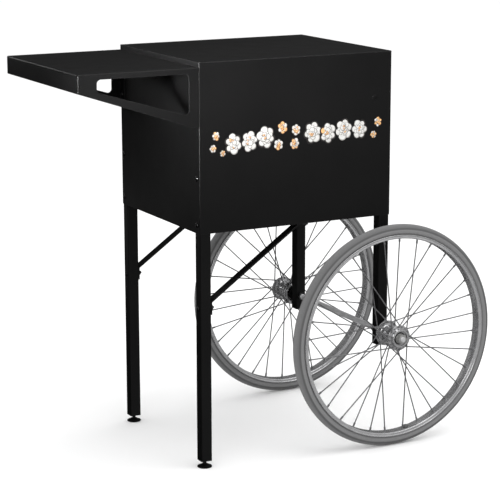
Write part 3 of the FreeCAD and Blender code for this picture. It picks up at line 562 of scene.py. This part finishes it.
def add_spoke(piece, i):
    """Headed wire: button, round elbow, long thin middle and thick threaded end."""
    head, elbow, hole = spoke_ends(i)
    away = (head - elbow).normalized()
    run = (hole - elbow).normalized()
    length = (hole - elbow).length
    bend = 2.2
    thin_r = SPOKE_R * 0.96
    piece.lathe([(0, 1.35), (1.2, 1.25), (1.9, 0.9), (2.1, 0.45), (2.1, 0.0), (0, 0)], head, away, 16)
    path = [(head + away * 0.4, SPOKE_R), (elbow + away * bend, SPOKE_R)]
    for k in range(1, 7):
        share = k / 7
        path.append((elbow + away * bend * (1 - share) ** 2 + run * bend * share ** 2, SPOKE_R))
    path += [(elbow + run * bend, SPOKE_R), (elbow + run * HUB_BUTT, SPOKE_R),
             (elbow + run * (HUB_BUTT + BUTT_TAPER), thin_r),
             (elbow + run * (length - RIM_BUTT - BUTT_TAPER), thin_r),
             (elbow + run * (length - RIM_BUTT), SPOKE_R),
             (hole - run * 10.5, SPOKE_R), (hole - run * 1.0, SPOKE_R)]
    add_wire(piece, path)


def add_nipple(piece, i):
    """Brass nipple: a square wrench grip, a round neck and a domed cap inside the rim."""
    head, elbow, hole = spoke_ends(i)
    run = (hole - elbow).normalized()

    def grip(angle):
        return 1.72 / max(abs(math.cos(angle)), abs(math.sin(angle))) ** 0.75

    stations = ((1.25, -10.4), (1.35, -11.0), (1.6, -10.7), (grip, -10.2), (grip, -8.0), (grip, -6.0),
                (2.0, -5.2), (2.0, -2.0), (2.0, 1.3), (2.6, 1.3), (2.5, 2.2), (1.4, 2.8))
    rings = [circle(hole + run * along, run, radius, 24) for radius, along in stations]
    piece.skin([[hole - run * 10.4]] + rings + [[hole + run * 2.9]])


def wires():
    """Spokes and nipples of both wheels."""
    spokes, nipples = Piece(), Piece()
    for i in range(SPOKES):
        add_spoke(spokes, i)
        add_nipple(nipples, i)
    both_wheels(spokes, "wire_spokes", "spoke_steel", "spokes", crease=50)
    both_wheels(nipples, "spoke_nipples", "spoke_steel", "nipples")


def valve_plugs():
    """Rubber plug in the rim's valve hole: domed head with a rolled edge."""
    middle = box("valve_plug_front")[2]
    out = (middle - WHEEL).normalized()
    head = WHEEL + out * (RIM_INNER_R - 0.1)
    piece = Piece()
    piece.lathe([(0, -6.0), (2.6, -5.9), (4.2, -5.3), (5.1, -4.2), (5.4, -3.0), (5.5, -1.2), (5.3, -0.4),
                 (4.6, 0.0), (4.0, 0.3), (4.0, 2.6), (3.4, 3.4), (0, 3.5)], head, out, 48)
    both_wheels(piece, "rubber_valve_plug", "tyre_rubber", "valve_plug")


def hubs():
    """Turned hub: waisted barrel, two flanges and a bearing cup at each end."""
    half = [(15.0, 0), (15.1, 6), (15.3, 12), (15.9, 17), (17.0, 20.5), (18.8, 23.0), (20.2, 23.8),
            (27.6, 23.8)]
    half += arc(27.8, 25.0, 1.2, -80, 80, 6)
    half += [(27.6, 26.2), (23.0, 26.2), (21.7, 26.7), (21.0, 28.0), (21.0, 32.6)]
    half += arc(19.8, 32.8, 1.2, 0, 90, 4)
    half += [(17.6, 34.0), (16.8, 33.6), (16.5, 32.8), (16.5, 29.0), (14.3, 29.0), (14.3, 21.0),
             (9.5, 21.0)]
    piece = Piece()
    piece.lathe(both_sides(half), WHEEL, Y, 128)
    polished = plated("polished_chrome", (0.58, 0.58, 0.59), (0.74, 0.74, 0.75), 0.10, 0.18, 0.9)
    both_wheels(piece, "turned_hub", "chrome", "hub", crease=30, material=polished)


def bearings():
    """Sealed bearing: outer race, sunk shield with a rolled edge, inner race."""
    piece = Piece()
    half = [(14.25, 0), (14.25, 3.6), (13.95, 3.95), (12.7, 3.95), (12.5, 3.6), (12.1, 3.4),
            (9.4, 3.55), (9.1, 3.4), (8.9, 3.95), (6.9, 3.95), (6.5, 3.6)]
    for side in (-1, 1):
        piece.lathe(both_sides(half), WHEEL + Y * side * BEARING_OFFSET, Y, 64)
    both_wheels(piece, "sealed_bearings", "zinc_steel", "bearings", material=MATERIALS["black_steel"])


tyres()
rims()
wires()
valve_plugs()
hubs()
bearings()


# ------------------------ axle
AXLE_R = 6.35
AXLE_PITCH = 1.25
AXLE_NUT_FLATS = 19.0
# distances from the axle's middle
INNER_THREAD_START = 160.0
INNER_THREAD_STOP = 179.0
END_THREAD_START = 268.0
THREAD_GAP = 0.01


def sheet_washer(piece, start, end, radius, bore):
    """Stamped washer: rounded over on one face, sharp on the other."""
    axis = (end - start).normalized()
    thick = (end - start).length
    piece.lathe([(bore, 0.1), (bore + 0.15, 0), (radius - 0.1, 0), (radius, 0.15), (radius, thick - 0.5),
                 (radius - 0.15, thick - 0.18), (radius - 0.5, thick), (bore + 0.3, thick),
                 (bore, thick - 0.25)], start, axis, 64)


def add_bar(piece, middle, axis, start, stop):
    """Plain stretch of the axle, bevelled at both ends."""
    bevel = 0.4
    piece.lathe([(0, start), (AXLE_R - bevel, start), (AXLE_R, start + bevel), (AXLE_R, stop - bevel),
                 (AXLE_R - bevel, stop), (0, stop)], middle, axis, 64)


def add_shaft_end(piece, middle, axis, end):
    """Axle beyond its middle bar: thread for the inner nut, bar, end thread."""
    add_bar(piece, middle, axis, INNER_THREAD_STOP, END_THREAD_START)
    threads = ((INNER_THREAD_START + THREAD_GAP, INNER_THREAD_STOP - THREAD_GAP),
               (END_THREAD_START + THREAD_GAP, end))
    for start, stop in threads:
        add_thread(piece, middle + axis * start, middle + axis * stop, AXLE_R, AXLE_PITCH, 48)


def axle_pieces():
    """Axle with threaded ends, and its washers, end nuts, inner nuts and hub spacers."""
    _, high, middle = box("axle")
    shaft, washers, nuts, locks, spacers = (Piece() for _ in range(5))
    add_bar(shaft, middle, Y, -INNER_THREAD_START, INNER_THREAD_START)
    for side in (-1, 1):
        add_shaft_end(shaft, middle, Y * side, high.y - middle.y)
    for low, high in islands("axle_washers"):
        side = math.copysign(1, low.y)
        inner, outer = sorted((low.y, high.y), key=abs)
        centre = (low + high) / 2
        sheet_washer(washers, Vector((centre.x, inner, centre.z)), Vector((centre.x, outer, centre.z)),
                     (high.x - low.x) / 2, AXLE_R)
    for piece, node in ((nuts, "axle_nuts"), (locks, "axle_inner_nuts")):
        for low, high in islands(node):
            outer, inner = ends((low, high), Y * math.copysign(1, low.y))
            add_nut(piece, inner, outer, AXLE_NUT_FLATS, AXLE_R)
    for low, high in islands("hub_spacers"):
        outer, inner = ends((low, high), Y * math.copysign(1, low.y))
        axis = (inner - outer).normalized()
        length = (inner - outer).length
        spacers.lathe([(AXLE_R, 0.3), (AXLE_R + 0.4, 0), (8.6, 0), (9.0, 0.4), (9.0, length - 5.2),
                       (9.5, length - 4.4), (10.6, length - 4.0), (16.2, length - 4.0),
                       (16.8, length - 3.6), (17.0, length - 2.9), (17.0, length - 0.6),
                       (16.6, length), (AXLE_R, length)],
                      outer, axis, 96)
    ground = plated("ground_bar", (0.70, 0.70, 0.71), (0.84, 0.84, 0.85), 0.34, 0.48, 0.7)
    shaft.build("threaded_axle", "cart", "chrome", "axle", material=ground)
    washers.build("stamped_axle_washers", "cart", "zinc_steel", "axle_washers")
    nuts.build("chamfered_axle_nuts", "cart", "zinc_steel", "axle_nuts", crease=25)
    locks.build("chamfered_inner_nuts", "cart", "black_steel", "axle_inner_nuts", crease=25)
    spacers.build("moulded_hub_spacers", "cart", "black_plastic", "hub_spacers")


# ------------------------ bolts and nuts
BOLT_R = 3.0
BOLT_HEAD_R = 5.5
BOLT_HEAD = 3.2
BOLT_PITCH = 1.0
BOLT_PLAIN_SHARE = 0.25
NUT_FLATS = 10.0


def add_bolt(piece, corners, outward):
    """Pan-head bolt, plain under its head and then threaded to a chamfered tip."""
    top, tip = ends(corners, outward)
    neck = top - outward * (BOLT_HEAD + (top - tip).length * BOLT_PLAIN_SHARE)
    add_pan_screw(piece, (Vector(map(min, zip(top, neck))), Vector(map(max, zip(top, neck)))), outward,
                  BOLT_R, BOLT_HEAD_R, BOLT_HEAD)
    add_thread(piece, neck + outward * 0.01, tip, BOLT_R, BOLT_PITCH, 24)


def from_outside(corners):
    """Direction from which a fastener that lies along X or Z is put in."""
    low, high = corners
    size = high - low
    if size.x > size.z:
        return X * math.copysign(1, low.x + high.x)
    return Z


def bolts_and_nuts():
    """Fasteners of the legs, the shelf and the braces."""
    names = (("leg_bolts", "leg_nuts"), ("shelf_bolts", "shelf_nuts"), ("brace_bolts", "brace_nuts"))
    for bolt_node, nut_node in names:
        bolts, nuts = Piece(), Piece()
        for corners in islands(bolt_node):
            add_bolt(bolts, corners, from_outside(corners))
        for low, high in islands(nut_node):
            size = high - low
            axis = X if size.x < min(size.y, size.z) else Z
            start, end = ends((low, high), axis)
            add_nut(nuts, start, end, NUT_FLATS, BOLT_R)
        bolts.build("threaded_" + bolt_node, "cart", "black_steel", bolt_node, crease=30)
        nuts.build("chamfered_" + nut_node, "cart", "black_steel", nut_node, crease=25)


axle_pieces()
bolts_and_nuts()


# ------------------------ legs' plastic and feet
STEM_R = 4.0
STEM_PITCH = 1.25
STEM_CLEARANCE = 0.1


def rounded_square(centre, half, corner):
    """Ring of points round a square with rounded corners, across Z."""
    ring = []
    for quarter in range(4):
        pivot = math.pi / 2 * quarter + math.pi / 4
        reach = (half - corner) * math.sqrt(2)
        for k in range(9):
            angle = math.pi / 2 * (quarter + k / 8)
            ring.append(centre + X * (reach * math.cos(pivot) + corner * math.cos(angle))
                        + Y * (reach * math.sin(pivot) + corner * math.sin(angle)))
    return ring


def add_leg_plug(piece, corners, bore):
    """Plug with a bevelled lip under the tube and ribs that grip inside it."""
    low, high = corners
    base = (low + high) / 2
    base.z = low.z
    half = (high.x - low.x) / 2
    depth = high.z - low.z
    sections = [(half - 0.6, 0), (half - 0.15, 0.15), (half, 0.5), (half, 1.5)]
    for k in range(3):
        start = 1.5 + (depth - 3.0) * k / 3
        sections += [(half - 2.1, start), (half - 1.55, start + 1.0), (half - 1.55, start + 1.6)]
    sections += [(half - 2.4, depth)]
    rings = [rounded_square(base + Z * z, side, min(3.0, side / 4)) for side, z in sections]
    if bore:
        rings += [circle(base + Z * depth, Z, bore + 0.4, 36),
                  circle(base + Z * (depth - 0.4), Z, bore, 36),
                  circle(base + Z * 0.4, Z, bore, 36), circle(base, Z, bore + 0.4, 36)]
        piece.skin(rings, loop=True)
    else:
        piece.skin([[base]] + rings + [[base + Z * depth]])


def feet_and_plugs():
    """Inserts and caps of the legs, and both feet."""
    inserts, caps = Piece(), Piece()
    for corners in islands("foot_inserts"):
        add_leg_plug(inserts, corners, STEM_R + STEM_CLEARANCE)
    for corners in islands("axle_leg_caps"):
        add_leg_plug(caps, corners, 0)
    inserts.build("ribbed_foot_inserts", "cart", "black_plastic", "foot_inserts")
    caps.build("ribbed_leg_caps", "cart", "black_plastic", "axle_leg_caps")
    low, high, middle = box("foot_stem_front")
    stem, pad = Piece(), Piece()
    base = Vector((middle.x, middle.y, 0))
    add_thread(stem, base + Z * low.z, base + Z * high.z, STEM_R, STEM_PITCH, 40)
    pad.lathe([(0, 0.5), (9.0, 0.5), (9.6, 0), (14.6, 0), (15.5, 0.35), (16.0, 1.1), (16.0, 2.0),
               (15.6, 2.7), (14.9, 3.0), (13.9, 3.05), (13.2, 3.5), (11.4, 4.3), (11.1, 4.3), (10.6, 4.65),
               (8.6, 5.6), (8.3, 5.6), (7.8, 6.1), (7.0, 7.1), (6.2, 7.5), (4.6, 7.5),
               (STEM_R, 7.2), (STEM_R, 4.0), (0, 4.0)], base, Z, 96)
    for side, mirrored in (("front", False), ("rear", True)):
        body = "foot_" + side
        stem.build("threaded_foot_stem_" + side, body, "black_steel", "foot_stem_" + side,
                   mirrored=mirrored)
        pad.build("turned_foot_pad_" + side, body, "black_plastic", "foot_pad_" + side,
                  mirrored=mirrored)


def hole_plug():
    """Push-in plug with a domed head and a barbed stalk."""
    middle = box("hole_plug")[2]
    face = Vector((middle.x, box("cabinet_shell")[0].y, middle.z))
    piece = Piece()
    piece.lathe([(0, 1.2), (2.2, 1.17), (3.8, 1.02), (4.8, 0.75), (5.3, 0.4), (5.5, 0.1), (5.5, 0.0),
                 (4.0, 0.0), (3.9, -1.3), (4.0, -1.6), (3.9, -3.6), (3.0, -5.0), (0, -5.0)], face, -Y, 64)
    piece.build("domed_hole_plug", "cart", "black_plastic", "hole_plug")


feet_and_plugs()
hole_plug()


# ------------------------ door hardware
BACK = box("door_panel")[1].y
LEAF_SHEET = 1.5
LEAF_WIDTH = 22.0
KNUCKLE = 16.0
KNUCKLE_R = 3.4
KNUCKLE_Y = BACK + 3.5
KNUCKLE_SLACK = 0.25
KNUCKLE_BORE = 1.85
PIN_R = 1.75
LEAF_CORNER = 3.0


def leaf_outline(x, z, direction, gaps):
    """Outline of a leaf on the door's plane: rounded far corners, notches at the other's knuckles."""
    half = 1.5 * KNUCKLE
    far = x + direction * LEAF_WIDTH
    points = []
    for sign in (-1, 1):
        turns = range(0, 91, 15) if sign < 0 else range(90, -1, -15)
        for degrees in turns:
            angle = math.radians(degrees)
            points.append((far - direction * LEAF_CORNER * (1 - math.sin(angle)),
                           z + sign * (half - LEAF_CORNER * (1 - math.cos(angle)))))
    points = [(x, z - half)] + points + [(x, z + half)]
    clear = x + direction * (KNUCKLE_R + 0.6)
    for low, high in reversed(gaps):
        points += [(x, high), (clear, high), (clear, low), (x, low)]
    kept = []
    for point in points:
        if point in kept:
            kept.remove(point)
        else:
            kept.append(point)
    return [Vector((px, BACK, pz)) for px, pz in kept]


def add_knuckle(piece, x, start, stop):
    """Rolled tube of a leaf round the hinge's pin, bevelled inside and out."""
    bevel = 0.4
    face_r = KNUCKLE_R - bevel
    mouth_r = KNUCKLE_BORE + 0.35
    piece.lathe([(KNUCKLE_BORE, start + 0.3), (mouth_r, start), (face_r, start),
                 (KNUCKLE_R, start + bevel), (KNUCKLE_R, stop - bevel), (face_r, stop),
                 (mouth_r, stop), (KNUCKLE_BORE, stop - 0.3)],
                Vector((x, KNUCKLE_Y, 0)), Z, 48)


def hinges():
    """Leaves, knuckles and headed pins of the door's hinges."""
    frame_leaves, door_leaves, pins = Piece(), Piece(), Piece()
    half = 1.5 * KNUCKLE
    for low, high in islands("hinge_pins"):
        x = (low.x + high.x) / 2
        z = (low.z + high.z) / 2
        upper = (z + KNUCKLE / 2 - KNUCKLE_SLACK, z + half)
        lower = (z - half, z - KNUCKLE / 2 + KNUCKLE_SLACK)
        inner = (z - KNUCKLE / 2 - KNUCKLE_SLACK, z + KNUCKLE / 2 + KNUCKLE_SLACK)
        frame_leaves.plate(leaf_outline(x, z, -1, [inner]), Y * LEAF_SHEET)
        door_leaves.plate(leaf_outline(x, z, 1, [lower, upper]), Y * LEAF_SHEET)
        add_knuckle(frame_leaves, x, inner[1], upper[1])
        add_knuckle(frame_leaves, x, lower[0], inner[0])
        add_knuckle(door_leaves, x, lower[1], upper[0])
        pins.lathe([(0, -half - 1.2), (2.0, -half - 1.2), (2.8, -half - 0.7), (3.0, -half),
                    (PIN_R, -half), (PIN_R, half), (3.0, half), (2.8, half + 0.7), (2.0, half + 1.2),
                    (0, half + 1.2)],
                   Vector((x, KNUCKLE_Y, z)), Z, 48)
    frame_leaves.build("hinge_leaves_on_frame", "cart", "zinc_steel", "hinge_frame_leaves", crease=30)
    door_leaves.build("hinge_leaves_on_door", "door", "zinc_steel", "hinge_door_leaves", crease=30)
    pins.build("headed_hinge_pins", "cart", "zinc_steel", "hinge_pins", crease=30)


def small_screws():
    """Screws of the hinges and the pull. Sizes are shank radius, head radius and head height."""
    hinge_size = (1.6, 3.0, 1.4)
    pull_size = (2.0, 4.0, 2.0)
    screws = (("hinge_frame_screws", "cart", Y, hinge_size), ("hinge_door_screws", "door", Y, hinge_size),
              ("pull_screws", "door", -Y, pull_size))
    for node, body, outward, size in screws:
        piece = Piece()
        for corners in islands(node):
            add_pan_screw(piece, corners, outward, *size)
        piece.build("pressed_" + node, body, "zinc_steel", node, crease=30)


def door_pull():
    """Round bar bent into a bow, slightly necked where it meets the door."""
    low, high, middle = box("door_pull")
    radius = (high.x - low.x) / 2
    bend = 12.0
    top = Vector((middle.x, BACK, high.z - radius))
    stand = high.y - radius - BACK
    neck = 0.5
    path = [(top, radius - neck), (top + Y * neck, radius), (top + Y * (stand - bend) / 2, radius)]
    for k in range(13):
        angle = math.pi / 2 * k / 12
        out = stand - bend + bend * math.sin(angle)
        path.append((top + Y * out - Z * bend * (1 - math.cos(angle)), radius))
    path += [(Vector((p.x, p.y, 2 * middle.z - p.z)), r) for p, r in reversed(path)]
    piece = Piece()
    add_wire(piece, path, 32)
    piece.build("bent_door_pull", "door", "chrome", "door_pull")


def add_block(piece, low, high, bevel):
    """Block with every edge bevelled."""
    middle = (low + high) / 2
    half = (high - low) / 2
    layers = [(bevel, -half.y), (0, bevel - half.y), (0, half.y - bevel), (bevel, half.y)]
    rings = [[middle - Y * half.y]]
    for inset, y in layers:
        wide, tall = half.x - inset, half.z - inset
        corner = bevel * 1.2
        ring = []
        for sx, sz in ((1, 1), (-1, 1), (-1, -1), (1, -1)):
            a = Vector((sx * wide, y, sz * (tall - corner)))
            b = Vector((sx * (wide - corner), y, sz * tall))
            ring += [middle + a, middle + b] if sx == sz else [middle + b, middle + a]
        rings.append(ring)
    piece.skin(rings + [[middle + Y * half.y]])


def door_catch():
    """Magnetic catch: housing with two pole plates, an arm and a screwed ear; plate on the door."""
    low, high, _ = box("magnet_catch")
    plate_sheet, gap = 1.5, 0.3
    face = box("door_panel")[0].y - plate_sheet - gap
    ear_x = high.x - 20.0
    housing, poles, plate = Piece(), Piece(), Piece()
    add_block(housing, Vector((low.x, low.y, low.z)), Vector((ear_x - 1.6, face - 0.35, high.z)), 1.0)
    add_block(housing, Vector((ear_x - 1.6, low.y, low.z)), Vector((ear_x + 0.4, high.y, high.z)), 0.4)
    add_block(housing, Vector((ear_x, high.y - 2.0, low.z)), high, 0.5)
    for x in (low.x + 3.4, ear_x - 5.0):
        add_block(poles, Vector((x - 0.8, low.y + 1.0, low.z + 4.0)),
                  Vector((x + 0.8, face, high.z - 4.0)), 0.2)
    for z in (low.z + 9.0, high.z - 9.0):
        poles.lathe([(0, 0), (3.2, 0), (3.0, 0.5), (2.0, 0.9), (0, 1.0)],
                    Vector((ear_x + 11.0, high.y - 2.0, z)), -Y, 32)
    housing.build("moulded_catch", "cart", "black_plastic", "magnet_catch")
    poles.build("catch_pole_plates", "cart", "zinc_steel")
    low, high, middle = box("catch_plate")
    add_block(plate, Vector((low.x, low.y + 0.3, low.z)), high, 0.35)
    for z in (low.z + 7.0, high.z - 7.0):
        plate.lathe([(0, 0), (2.4, 0), (2.3, 0.14), (1.6, 0.26), (0, 0.3)],
                    Vector((middle.x, low.y + 0.3, z)), -Y, 32)
    plate.build("riveted_catch_plate", "door", "zinc_steel", "catch_plate")


hinges()
small_screws()
door_pull()
door_catch()


# ------------------------ front graphic
LOBES = 6
LOBE_RING = 0.27
LOBE_R = 0.22
PUFF_HEIGHT = 1.2
FILM = 0.3
BAND_Z = 716.0
ART_SEED = 11
# puffs of popcorn: (x from the cabinet's left face, z from the band's middle, size)
LARGE_PUFFS = ((80, -5, 44), (119, -3, 44), (158, 3, 48), (273, 5, 48), (311, 1, 44),
               (351, 6, 46), (391, 4, 42))
SMALL_PUFFS = ((39, 14, 20), (32, -12, 17), (55, -24, 14), (199, 21, 26), (232, 14, 24),
               (189, -15, 24), (229, -16, 25), (438, 17, 21), (427, -10, 17))
INKS = {
    "ink": film("film_ink", (0.006, 0.005, 0.005), (0.016, 0.013, 0.012)),
    "white": MATERIALS["printed_film"],
    "shade": film("film_shade", (0.22, 0.21, 0.20), (0.32, 0.31, 0.29)),
    "tan": film("film_tan", (0.50, 0.27, 0.10), (0.64, 0.40, 0.18)),
    "orange": film("film_orange", (0.24, 0.08, 0.02), (0.36, 0.15, 0.04)),
}


class Art:
    """Flat picture of overlapping round shapes. What is drawn last lies on top."""

    def __init__(self):
        self.inks = []
        self.points = []
        self.faces = []

    def blob(self, ink, x, z, radius, squash=1.0, lean=0.0, sides=36):
        """Oval of one ink."""
        start = len(self.points)
        for i in range(sides):
            angle = 2 * math.pi * i / sides
            a, b = radius * math.cos(angle), radius * squash * math.sin(angle)
            self.points.append(Vector((x + a * math.cos(lean) - b * math.sin(lean),
                                       z + a * math.sin(lean) + b * math.cos(lean))))
        self.faces.append(list(range(start, start + sides)))
        self.inks.append(ink)

    def lobe(self, x, z, radius, line, tan=False):
        """Round lobe: dark outline, shaded lower edge, pale or tan body lit from the upper left."""
        inside = radius - line
        edge, body = ("orange", "tan") if tan else ("shade", "white")
        self.blob("ink", x, z, radius)
        self.blob(edge, x, z, inside)
        self.blob(body, x - inside * 0.07, z + inside * 0.10, inside * 0.87)

    def hull(self, x, z, radius, lean, line):
        """Bit of hull: dark outline, orange edge, tan body and a pale glint."""
        inside = radius - line
        self.blob("ink", x, z, radius, 0.72, lean)
        self.blob("orange", x, z, inside, 0.70, lean)
        self.blob("tan", x - inside * 0.08, z + inside * 0.12, inside * 0.82, 0.66, lean)
        self.blob("white", x - inside * 0.25, z + inside * 0.25, inside * 0.22, 0.6, lean, 16)

    def slabs(self, face):
        """A closed sheet of film for each ink, cut so that no two overlap."""
        points, _, triangles, _, _, sources = delaunay_2d_cdt(self.points, [], self.faces, 1, 1e-4, True)
        groups = {}
        for corners, drawn in zip(triangles, sources):
            if drawn:
                groups.setdefault(self.inks[max(drawn)], []).append(tuple(corners))
        pieces = {}
        for ink, group in groups.items():
            piece = Piece()
            front, rear = {}, {}
            for i in sorted({corner for corners in group for corner in corners}):
                x, z = points[i]
                front[i] = piece.bm.verts.new((x, face - FILM, z))
                rear[i] = piece.bm.verts.new((x, face, z))
            sides = {pair for a, b, c in group for pair in ((a, b), (b, c), (c, a))}
            for a, b, c in group:
                piece.bm.faces.new((front[a], front[b], front[c]))
                piece.bm.faces.new((rear[c], rear[b], rear[a]))
            for a, b in sorted(sides):
                if (b, a) not in sides:
                    piece.bm.faces.new((front[b], front[a], rear[a], rear[b]))
            pieces[ink] = piece
        return pieces


def draw_puff(art, x, z, size, hulls, hull_r, tan_share, chance):
    """One popped kernel: outer lobes, smaller lobes between them, a middle cluster, bits of hull."""
    line = 0.3 + 0.008 * size
    radius = LOBE_R * size
    turn = math.radians(7 * x)

    def place(reach, angle):
        return (x + reach * size * math.cos(angle), z + reach * size * PUFF_HEIGHT * math.sin(angle))

    step = 2 * math.pi / LOBES
    ring = [place(LOBE_RING, turn + step * i) for i in range(LOBES)]
    for spot in [(x, z)] + ring:
        art.blob("ink", *spot, radius)
    chance.shuffle(ring)
    for spot in ring:
        art.lobe(*spot, radius * chance.uniform(0.68, 1.0), line, chance.random() < tan_share)
    for i in range(LOBES):
        art.lobe(*place(chance.uniform(0.17, 0.25), turn + step * (i + 0.5) + chance.uniform(-0.2, 0.2)),
                 size * chance.uniform(0.07, 0.13), line * 0.8, chance.random() < tan_share)
    for i in range(4):
        art.lobe(*place(chance.uniform(0.07, 0.12), turn + math.pi / 2 * i + chance.uniform(-0.4, 0.4)),
                 size * chance.uniform(0.11, 0.15), line * 0.8)
    for i in range(hulls):
        art.hull(*place(chance.uniform(0.03, 0.17), chance.uniform(0, 2 * math.pi)),
                 size * hull_r * chance.uniform(0.8, 1.15), chance.uniform(-0.9, 0.9), line * 0.7)


def front_graphic():
    """Band of popcorn on the front panel, one sheet of film for each ink."""
    chance = random.Random(ART_SEED)
    shell = box("cabinet_shell")[0]
    art = Art()
    for puffs, hulls, hull_r, tan_share in ((LARGE_PUFFS, 3, 0.07, 0.04), (SMALL_PUFFS, 4, 0.17, 0.4)):
        for x, z, size in puffs:
            draw_puff(art, shell.x + x, BAND_Z + z, size, hulls, hull_r, tan_share, chance)
    for ink, piece in sorted(art.slabs(shell.y).items()):
        replaced = ("front_graphic",) if ink == "ink" else ()
        piece.build("sticker_" + ink, "cart", "printed_film", *replaced, material=INKS[ink])


front_graphic()


# ------------------------ camera, light and floor
CAMERA_PLACE = (-1.9124, -3.6503, 1.3295)
CAMERA_LENS = 133.36
# radians: turned to the right of Y, tipped down, rolled about the line of sight
CAMERA_YAW, CAMERA_PITCH, CAMERA_ROLL = 0.4838, 0.2155, 0.0019
# where a mirrored direction counts as bright: ahead of the cart, to its right and overhead
BRIGHT_SIDE = (0.35, -0.80, 0.49)
BRIGHT_REACH = 0.95
MIRRORED_GREYS = ((0.0, 0.0), (0.2, 0.02), (0.5, 0.12), (0.9, 0.31), (1.0, 0.5))
SURROUND_WHITE = (1.12, 1.12, 1.12, 1)
FLOOR_HALF = 40.0


def photo_camera():
    """Camera fitted to the reference view."""
    data = bpy.data.cameras.new("camera")
    data.sensor_width = 36.0
    data.lens = CAMERA_LENS
    data.clip_end = 50.0
    camera = add_object("camera", data)
    forward = Vector((math.sin(CAMERA_YAW) * math.cos(CAMERA_PITCH),
                      math.cos(CAMERA_YAW) * math.cos(CAMERA_PITCH), -math.sin(CAMERA_PITCH)))
    level = forward.cross(Z).normalized()
    below = forward.cross(level)
    right = level * math.cos(CAMERA_ROLL) + below * math.sin(CAMERA_ROLL)
    down = below * math.cos(CAMERA_ROLL) - level * math.sin(CAMERA_ROLL)
    turned = Matrix((right, -down, -forward)).transposed().to_4x4()
    camera.matrix_world = Matrix.Translation(CAMERA_PLACE) @ turned
    bpy.context.scene.camera = camera


def softbox(name, place, target, side, power, spread=180):
    """Square lamp of one side's length, aimed at target, unseen by the camera."""
    data = bpy.data.lights.new(name, "AREA")
    data.shape = "RECTANGLE"
    data.spread = math.radians(spread)
    data.size = data.size_y = side
    data.energy = power
    light = add_object(name, data)
    light.location = place
    light.rotation_euler = (Vector(target) - Vector(place)).to_track_quat("-Z", "Y").to_euler()
    light.visible_camera = False


def studio():
    """White surroundings, of which gloss mirrors only a grey that fades to black behind the cart."""
    world = bpy.data.worlds.new("studio")
    bpy.context.scene.world = world
    world.use_nodes = True
    tree = world.node_tree
    background = tree.nodes["Background"]
    coords = add_node(tree, "TexCoord")
    toward = add_node(tree, "VectorMath")
    toward.operation = "DOT_PRODUCT"
    toward.inputs[1].default_value = BRIGHT_SIDE
    tree.links.new(coords.outputs["Generated"], toward.inputs[0])
    span = add_node(tree, "MapRange", From_Min=-BRIGHT_REACH, From_Max=BRIGHT_REACH)
    tree.links.new(toward.outputs["Value"], span.inputs["Value"])
    stops = [(position, (grey, grey, grey)) for position, grey in MIRRORED_GREYS]
    mirrored = add_ramp(tree, span.outputs["Result"], stops)
    path = add_node(tree, "LightPath")
    mix = add_node(tree, "Mix")
    mix.data_type = "RGBA"
    mix.inputs["A"].default_value = SURROUND_WHITE
    tree.links.new(path.outputs["Is Glossy Ray"], mix.inputs["Factor"])
    tree.links.new(mirrored, mix.inputs["B"])
    tree.links.new(mix.outputs["Result"], background.inputs["Color"])
    background.inputs["Strength"].default_value = 1.0
    softbox("top_light", (0.5, -0.6, 3.2), (0, 0, 0.4), 3.0, 45)
    softbox("front_light", (-2.4, -2.8, 1.9), (0, 0, 0.5), 1.6, 18)
    softbox("corner_light", (-0.6, 0.8, 0.35), (-0.22, -0.2, 0.7), 0.3, 0.08)
    softbox("edge_light", (-1.98, -1.06, 0.95), (-0.22, -0.2, 0.87), 0.25, 1.9, 15)
    softbox("back_light", (-0.7, 0.9, 1.1), (-0.25, -0.1, 0.885), 0.3, 0.17, 60)
    softbox("side_light", (-0.15, -1.1, 0.78), (-0.42, -0.2, 0.86), 0.15, 0.03, 40)


def floor():
    """Wide pale floor."""
    mesh = bpy.data.meshes.new("floor")
    bm = bmesh.new()
    bmesh.ops.create_grid(bm, x_segments=1, y_segments=1, size=FLOOR_HALF)
    bm.to_mesh(mesh)
    bm.free()
    obj = add_object("floor", mesh)
    s = Shader("pale_floor", specular=0.2)
    colour = s.ramp(s.noise(1.5, 2.0), (0.0, (0.93, 0.93, 0.93)), (1.0, (0.95, 0.95, 0.95)))
    mesh.materials.append(s.finish(colour, s.spread(s.noise(3.0), 0.85, 0.95)))
    obj.visible_glossy = False


photo_camera()
studio()
floor()
bpy.context.scene.view_settings.view_transform = "Standard"
